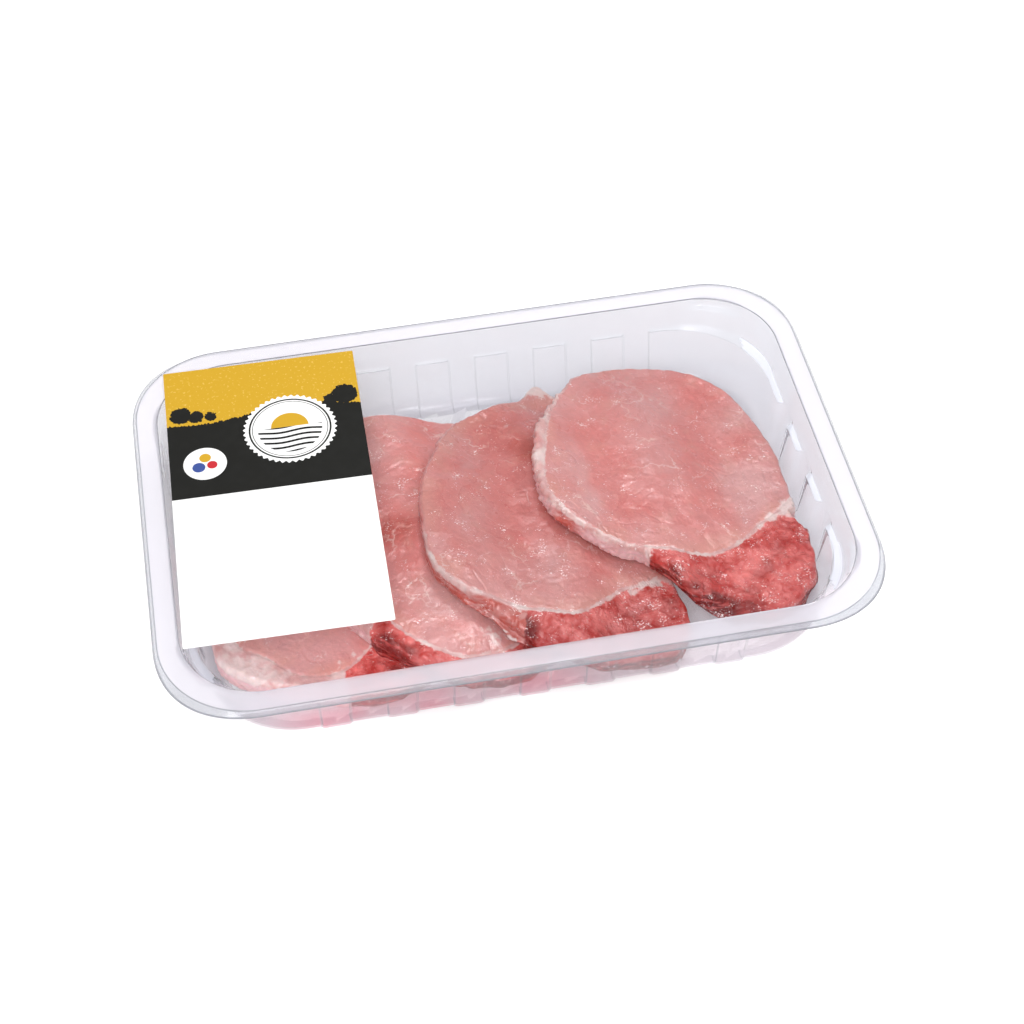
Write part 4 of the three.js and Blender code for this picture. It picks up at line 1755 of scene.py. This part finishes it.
    def _profile(self, blank: Blank, sloping: Array) -> Array:
        """Give heights over the underside for the slab's rounded section.

        Args:
            blank: What the points are.
            sloping: 1 where the side slopes down from the eye.

        Returns:
            Heights.
        """
        slope = np.clip(blank.edge - blank.eye - self.slope_start, 0, self.slope_reach)
        more_width, more_height = self.shoulder_tail
        top_width = self.shoulder[0] + sloping * slope + more_width * blank.tail_side
        top_height = self.shoulder[1] * (1 + sloping) + more_height * blank.tail_side
        low_width, low_height = self.belly
        inset = blank.edge * (1 - blank.share)
        rise = np.clip(inset / top_width, 0, 1)
        top = self.stack.thickness - top_height * (1 - np.sqrt(1 - (1 - rise) ** 2))
        rise = np.clip(inset / low_width, 0, 1)
        low = low_height * (1 - np.sqrt(1 - (1 - rise) ** 2))
        return low + (top - low) * blank.level

    def _relief(
        self,
        noise: SmoothNoise,
        x: Array,
        y: Array,
        eye_depth: Array,
        tail_depth: Array,
        share: Array,
    ) -> Array:
        """Give the unevenness of the cut faces.

        Args:
            noise: The cutlet's own noise.
            x: Places along X.
            y: Places along Y.
            eye_depth: Distance into the eye muscle.
            tail_depth: Distance into the tail muscle.
            share: Share of the radius.

        Returns:
            Heights to add.
        """
        phase = self.PHASE * self.index
        high, long_x, long_y = self.SWELL
        swell = high * (np.sin(x / long_x + phase) * np.cos(y / long_y - phase) - 1)
        in_eye = smooth(eye_depth, *self.EYE_FADE)
        in_tail = smooth(tail_depth, *self.TAIL_FADE)
        in_fat = np.clip(1 - in_eye - in_tail, 0, 1)
        bent_x = x + noise.layers(x, y, self.BEND_X)
        bent_y = y + noise.layers(x, y, self.BEND_Y)
        eye = noise.layers(x, y, self.EYE)
        for deep, level, size in self.CREASES:
            line = 1 - smooth(np.abs(noise.at(bent_x, bent_y, level, size)), 0.0, self.CREASE_WIDTH)
            eye -= deep * line * smooth(noise.at(x, y, level + 2, self.CREASE_RUN), 0.0, 0.4)
        tail = noise.layers(x, y, self.TAIL) - self.TAIL_SINK
        fat = noise.layers(x, y, self.FAT) + self.FAT_RISE
        deep, outside, half = self.GROOVE
        groove = deep * np.exp(-(((eye_depth + outside) / half) ** 2))
        swell = swell * (1 - smooth(share, 0.9, 1.0))
        return swell + in_eye * eye + in_tail * tail + in_fat * fat - groove


# ---------------------------------------------------------------- label


@dataclass
class Print:
    """Draws plain shapes on the label, in millimetres from its middle."""

    graph: Graph
    place: Feed
    u: Feed  # across the label
    v: Feed  # up the label
    edge: float = 0.06  # softness of the shapes' edges

    @classmethod
    def on_label(cls, graph: Graph, centre: Pair, turn: float) -> Print:
        """Set up the label's own coordinates.

        Args:
            graph: The material's graph.
            centre: The label's middle, in millimetres.
            turn: Its turn in degrees.

        Returns:
            The print to draw on.
        """
        place = graph.place()
        shift = {"Vector": place, "Location": (-centre[0] * MM, -centre[1] * MM, 0.0)}
        moved = graph.add("ShaderNodeMapping", shift).outputs["Vector"]
        flat = graph.stretch(moved, (1 / MM, 1 / MM, 0.0), -turn)
        parts = graph.add("ShaderNodeSeparateXYZ", {0: flat})
        return cls(graph, place, parts.outputs["X"], parts.outputs["Y"])

    def away(self, x: float, y: float) -> Socket:
        """Give distances from a point.

        Args:
            x: The point's place across.
            y: The point's place up.

        Returns:
            Socket of the distance.
        """
        squares = []
        for value, middle in ((self.u, x), (self.v, y)):
            gap = self.graph.math("ABSOLUTE", self.graph.minus(value, middle))
            squares.append(self.graph.math("POWER", gap, 2.0))
        return self.graph.math("SQRT", self.graph.plus(*squares))

    def inside(self, value: Feed, limit: float) -> Socket:
        """Give 1 where a value is under a limit and 0 over it."""
        return self.graph.fade(value, limit - self.edge, limit + self.edge, 1.0, 0.0)

    def above(self, value: Feed, limit: float) -> Socket:
        """Give 1 where a value is over a limit and 0 under it."""
        return self.graph.fade(value, limit - self.edge, limit + self.edge)

    def disc(self, x: float, y: float, radius: float, ragged: float = 0.0) -> Socket:
        """Draw a disc.

        Args:
            x: Its centre's place across.
            y: Its centre's place up.
            radius: Its radius.
            ragged: How far its edge wanders.

        Returns:
            Socket of its mask.
        """
        graph, away = self.graph, self.away(x, y)
        if ragged:
            point = graph.add("ShaderNodeCombineXYZ", {0: self.u, 1: self.v}).outputs[0]
            wander = graph.minus(graph.noise(point, 0.9, 2.0), 0.5)
            away = graph.plus(away, graph.times(wander, 4 * ragged))
        return self.inside(away, radius)


@dataclass(frozen=True)
class LabelFinish:
    """Printed gloss paper: a field over a dark hill, a seal and a badge, all plain."""

    name: str = "label_print"
    centre: Pair = (-80.5, 9.6)
    turn: float = -1.3
    band_foot: float = 1.2  # foot of the print over the white paper
    band_edge: float = 0.05
    hill: float = 40.0
    hill_swell: float = 2.2
    hill_turn: float = 0.085  # radians of the swell in a millimetre
    hill_tuft: float = 3.2
    bush_rag: float = 0.7
    bushes: tuple[Triple, ...] = (
        (-31.0, 43.5, 4.2), (-25.5, 42.0, 3.0), (-20.0, 41.5, 2.2), (31.0, 44.5, 5.0),
        (25.5, 42.5, 3.0),
    )
    seal: Triple = (9.0, 30.0, 17.6)
    seal_teeth: tuple[int, float] = (44, 0.45)  # how many, and how high
    badge: Triple = (-23.5, 17.5, 8.0)
    sky: Colour = shade(206, 162, 44)
    sky_pale: Colour = shade(222, 184, 82)
    dark: Colour = shade(29, 29, 27)
    paper: Colour = shade(250, 250, 249)
    blue: Colour = shade(64, 84, 150)
    red: Colour = shade(196, 48, 56)

    def build(self, groups: GroupLibrary) -> bpy.types.Material:
        """Make the material.

        Args:
            groups: Shared effects.

        Returns:
            The material.
        """
        material, graph = new_material(self.name)
        draw = Print.on_label(graph, self.centre, self.turn)
        specks = graph.fade(graph.noise(draw.place, 900.0, 3.0), 0.6, 0.68)
        sky = graph.mix(specks, self.sky, self.sky_pale)
        colour = graph.mix(self._hill(draw), sky, self.dark)
        colour = self._badge(draw, self._seal(draw, colour))
        low, high = self.band_foot - self.band_edge, self.band_foot + self.band_edge
        colour = graph.mix(graph.fade(draw.v, low, high), self.paper, colour)

        rubbing = {"Vector": draw.place, "Scale": 300.0, "Clean": 0.34, "Rubbed": 0.44}
        wear = graph.group(groups.get(GroupKind.SHEET_WEAR), rubbing)
        graph.surface({
            "Base Color": colour,
            "Roughness": wear.outputs["Roughness"],
            "IOR": 1.45,
            "Specular IOR Level": 0.2,
            "Normal": graph.bump(wear.outputs["Height"], 0.05, MM),
        })
        return material

    def _hill(self, draw: Print) -> Socket:
        """Draw the dark hill with bushes along its top.

        Args:
            draw: The print.

        Returns:
            Socket of the hill's mask.
        """
        graph = draw.graph
        wave = graph.math("SINE", graph.plus(graph.times(draw.u, self.hill_turn), 0.5))
        top = graph.plus(graph.times(wave, self.hill_swell), self.hill)
        blades = graph.noise(graph.stretch(draw.place, (1.0, 0.12, 1.0)), 900.0, 3.0)
        tuft = graph.times(graph.minus(blades, 0.5), self.hill_tuft)
        mask = draw.above(graph.minus(graph.plus(top, tuft), draw.v), 0.0)
        for bush in self.bushes:
            mask = graph.math("MAXIMUM", mask, draw.disc(*bush, self.bush_rag))
        return mask

    def _seal(self, draw: Print, colour: Feed) -> Socket:
        """Draw the scalloped seal with a ring, a sun and furrows.

        Args:
            draw: The print.
            colour: What lies under it.

        Returns:
            Socket of the colour with the seal.
        """
        graph = draw.graph
        x, y, radius = self.seal
        count, tooth = self.seal_teeth
        away = draw.away(x, y)
        turn = graph.math("ARCTAN2", graph.minus(draw.v, y), graph.minus(draw.u, x))
        teeth = graph.times(graph.math("SINE", graph.times(turn, float(count))), tooth)
        paper = graph.fade(graph.minus(away, teeth), radius - 0.55, radius - 0.4, 1.0, 0.0)
        colour = graph.mix(paper, colour, self.paper)
        for share, width in ((0.86, 0.35), (0.8, 0.14)):
            gap = graph.math("ABSOLUTE", graph.minus(away, share * radius))
            colour = graph.mix(draw.inside(gap, width), colour, self.dark)
        above = draw.above(draw.v, y + 1.0)
        sun = graph.times(draw.disc(x, y + 1.0, 0.4 * radius), above)
        colour = graph.mix(sun, colour, self.sky)
        core = graph.fade(away, 0.68 * radius, 0.68 * radius + 0.1, 1.0, 0.0)
        bend = graph.times(graph.math("SINE", graph.times(draw.u, 0.32)), 0.5)
        rows = graph.math("PINGPONG", graph.plus(graph.minus(draw.v, y), bend), 1.3)
        furrow = graph.times(graph.fade(rows, 0.72, 0.84), graph.minus(1.0, above))
        return graph.mix(graph.times(furrow, core), colour, self.dark)

    def _badge(self, draw: Print, colour: Feed) -> Socket:
        """Draw the small round badge.

        Args:
            draw: The print.
            colour: What lies under it.

        Returns:
            Socket of the colour with the badge.
        """
        x, y, radius = self.badge
        colour = draw.graph.mix(draw.disc(x, y, radius), colour, self.paper)
        dots = (
            (-0.3, -0.2, 0.3, self.blue),
            (0.32, -0.12, 0.24, self.red),
            (0.02, 0.36, 0.27, self.sky),
        )
        for across, up, size, ink in dots:
            dot = draw.disc(x + across * radius, y + up * radius, size * radius)
            colour = draw.graph.mix(dot, colour, ink)
        return colour


# ---------------------------------------------------------------- studio


@dataclass(frozen=True)
class Softbox:
    """A square area lamp that faces the pack."""

    name: str
    place: Triple
    size: float
    power: float


@dataclass
class Studio:
    """Floor, lamps, sky and camera."""

    floor_size: float = 6.0
    floor_colour: Colour = (0.97, 0.97, 0.97, 1.0)
    floor_glow: float = 0.2
    sky_low: float = 0.95  # strength of the sky at the horizon
    sky_high: float = 0.34  # and overhead
    sky_band: Pair = (0.2, 0.7)  # sines of the heights between which it changes
    lamps: tuple[Softbox, ...] = (
        Softbox("key_lamp", (0.75, 0.3, 0.95), 0.25, 2.6),
        Softbox("back_lamp", (0.15, 0.46, 1.2), 0.15, 3.0),
        Softbox("top_lamp", (-0.15, -0.15, 1.5), 1.5, 4.5),
        Softbox("front_lamp", (-0.28, -0.95, 1.0), 0.9, 12.0),
    )
    target: Triple = (0.002864, -0.017277, 0.0345)
    azimuth: float = -0.1656  # radians from the front, to the right
    elevation: float = 0.8480  # radians over the floor
    roll: float = -0.0262  # radians
    distance: float = 0.73182  # metres from the target
    lens: float = 71.54  # millimetres, as the sensor
    sensor: float = 36.0
    near_clip: float = 0.01  # metres

    def floor(self) -> bpy.types.Object:
        """Lay the pale floor."""
        material, graph = new_material("studio_floor")
        tone = graph.fade(graph.noise(graph.place(), 3.0), 0.3, 0.7, 0.98, 1.0)
        colour = graph.mix(tone, (0.95, 0.95, 0.95, 1.0), self.floor_colour)
        graph.surface({
            "Base Color": colour,
            "Roughness": 0.8,
            "Emission Color": (1.0, 1.0, 1.0, 1.0),
            "Emission Strength": self.floor_glow,
        })
        bm = bmesh.new()
        bmesh.ops.create_grid(bm, x_segments=4, y_segments=4, size=self.floor_size / 2)
        floor = finished_object(bm, "studio_floor", material)
        return floor

    def light(self) -> None:
        """Hang the lamps and set the sky."""
        for lamp in self.lamps:
            data = bpy.data.lights.new(lamp.name, "AREA")
            data.size = lamp.size
            data.energy = lamp.power
            item = bpy.data.objects.new(lamp.name, data)
            item.location = lamp.place
            aim = Vector(self.target) - item.location
            item.rotation_euler = aim.to_track_quat("-Z", "Y").to_euler()
            bpy.context.collection.objects.link(item)
        world = bpy.data.worlds.new("studio_sky")
        world.use_nodes = True
        world.node_tree.nodes.clear()
        graph = Graph(world.node_tree)
        gaze = graph.add("ShaderNodeTexCoord").outputs["Generated"]
        rise = graph.add("ShaderNodeSeparateXYZ", {0: gaze}).outputs["Z"]
        strength = graph.fade(rise, *self.sky_band, self.sky_low, self.sky_high)
        light = {"Color": (1.0, 1.0, 1.0, 1.0), "Strength": strength}
        sky = graph.add("ShaderNodeBackground", light)
        graph.add("ShaderNodeOutputWorld", {"Surface": sky.outputs[0]})
        bpy.context.scene.world = world
        bpy.context.scene.view_settings.view_transform = "Standard"

    def camera(self) -> bpy.types.Object:
        """Set up the camera at the photograph's view."""
        flat, high = math.cos(self.elevation), math.sin(self.elevation)
        back = Vector((math.sin(self.azimuth) * flat, -math.cos(self.azimuth) * flat, high))
        level = (-back).cross(Vector((0, 0, 1))).normalized()
        raised = level.cross(-back)
        cos, sin = math.cos(self.roll), math.sin(self.roll)
        right = level * cos + raised * sin
        up = raised * cos - level * sin
        data = bpy.data.cameras.new("camera")
        data.lens = self.lens
        data.sensor_width = self.sensor
        data.clip_start = self.near_clip
        item = bpy.data.objects.new("camera", data)
        turn = Matrix((right, up, back)).transposed().to_4x4()
        item.matrix_world = Matrix.Translation(Vector(self.target) + back * self.distance) @ turn
        bpy.context.collection.objects.link(item)
        bpy.context.scene.camera = item
        return item


# ---------------------------------------------------------------- the pack


TRAY_FINISHES = {
    TrayPart.WALL: ClearFinish(
        name="tray_plastic",
        tint=shade(218, 218, 222),
        clean=0.07,
        rubbed=0.14,
        ior=1.03,
        milk=0.08,
        coat=0.4,
        through=shade(238, 238, 240),
        # painted pink reflection of the meat low on the front wall, and painted light on the rest
        # of it
        painted_front=PaintedFrontLight(meat_reflection=shade(240, 196, 204), near=shade(238, 232, 236)),
    ),
    TrayPart.LAND: ClearFinish(
        name="sealed_land",
        tint=shade(235, 233, 237),
        clean=0.25,
        rubbed=0.25,
        ior=1.15,
        milk=0.35,
        coat=0.2,
        through=shade(248, 247, 250),
    ),
    # painted highlight: bright beads on the end walls' ledge
    TrayPart.LEDGE: ClearFinish(
        name="ledge_painted_highlight",
        tint=shade(238, 240, 246),
        clean=0.1,
        rubbed=0.16,
        ior=1.1,
        milk=0.38,
        coat=0.5,
        through=shade(242, 242, 246),
    ),
    # painted shade: dark lines along the land's creases
    TrayPart.CREASE: ClearFinish(
        name="crease_painted_shade",
        tint=shade(164, 166, 173),
        clean=0.1,
        rubbed=0.2,
        ior=1.1,
        milk=0.45,
        coat=0.5,
        through=shade(220, 221, 226),
    ),
    TrayPart.LIP: ClearFinish(
        name="rolled_lip",
        tint=shade(214, 215, 220),
        clean=0.1,
        rubbed=0.18,
        ior=1.12,
        milk=0.2,
        coat=0.6,
        through=shade(236, 237, 240),
    ),
    # painted shade: darker lines on the flute ramps, seen edge-on
    TrayPart.FOLD: ClearFinish(
        name="flute_fold_painted_shade",
        tint=shade(208, 208, 212),
        clean=0.1,
        rubbed=0.16,
        ior=1.03,
        milk=0.12,
        coat=0.5,
        through=shade(230, 229, 233),
    ),
}
LID_FILM = ClearFinish(
    name="lid_film",
    tint=shade(253, 253, 254),
    clean=0.03,
    rubbed=0.06,
    ior=1.06,
    milk=0.0,
    coat=0.0,
    through=shade(254, 254, 255),
)


def dress(node: str, material: bpy.types.Material) -> None:
    """Give a kept solid its material.

    Args:
        node: The solid's name.
        material: The material.
    """
    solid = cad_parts[node]
    solid.data.materials.clear()
    solid.data.materials.append(material)
    LOG.info("dressed %s with %s", node, material.name)


def main() -> None:
    """Build the pack's pieces and the studio."""
    logging.basicConfig(level=logging.INFO, format="%(name)s: %(message)s")
    groups = GroupLibrary()

    tray = Tray()
    tray_piece = tray.build({part: finish.build(groups) for part, finish in TRAY_FINISHES.items()})
    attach(tray_piece, "root")
    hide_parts("tray")
    LOG.info("built %s, %d faces", tray_piece.name, len(tray_piece.data.polygons))

    pork = MeatFinish().build(groups)
    stack = Stack(tray)
    for index, plan in enumerate(CUTLETS):
        cutlet = Cutlet(stack, index).build(pork)
        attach(cutlet, "root")
        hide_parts(*(f"{plan.name}_{part}" for part in ("eye", "fat", "tail")))
        LOG.info("built %s, %d faces", cutlet.name, len(cutlet.data.polygons))

    dress("lid_film", LID_FILM.build(groups))
    dress("label", LabelFinish().build(groups))

    studio = Studio()
    studio.floor()
    studio.light()
    studio.camera()
    LOG.info("lit the studio and placed the camera")


if __name__ == "__main__":
    main()
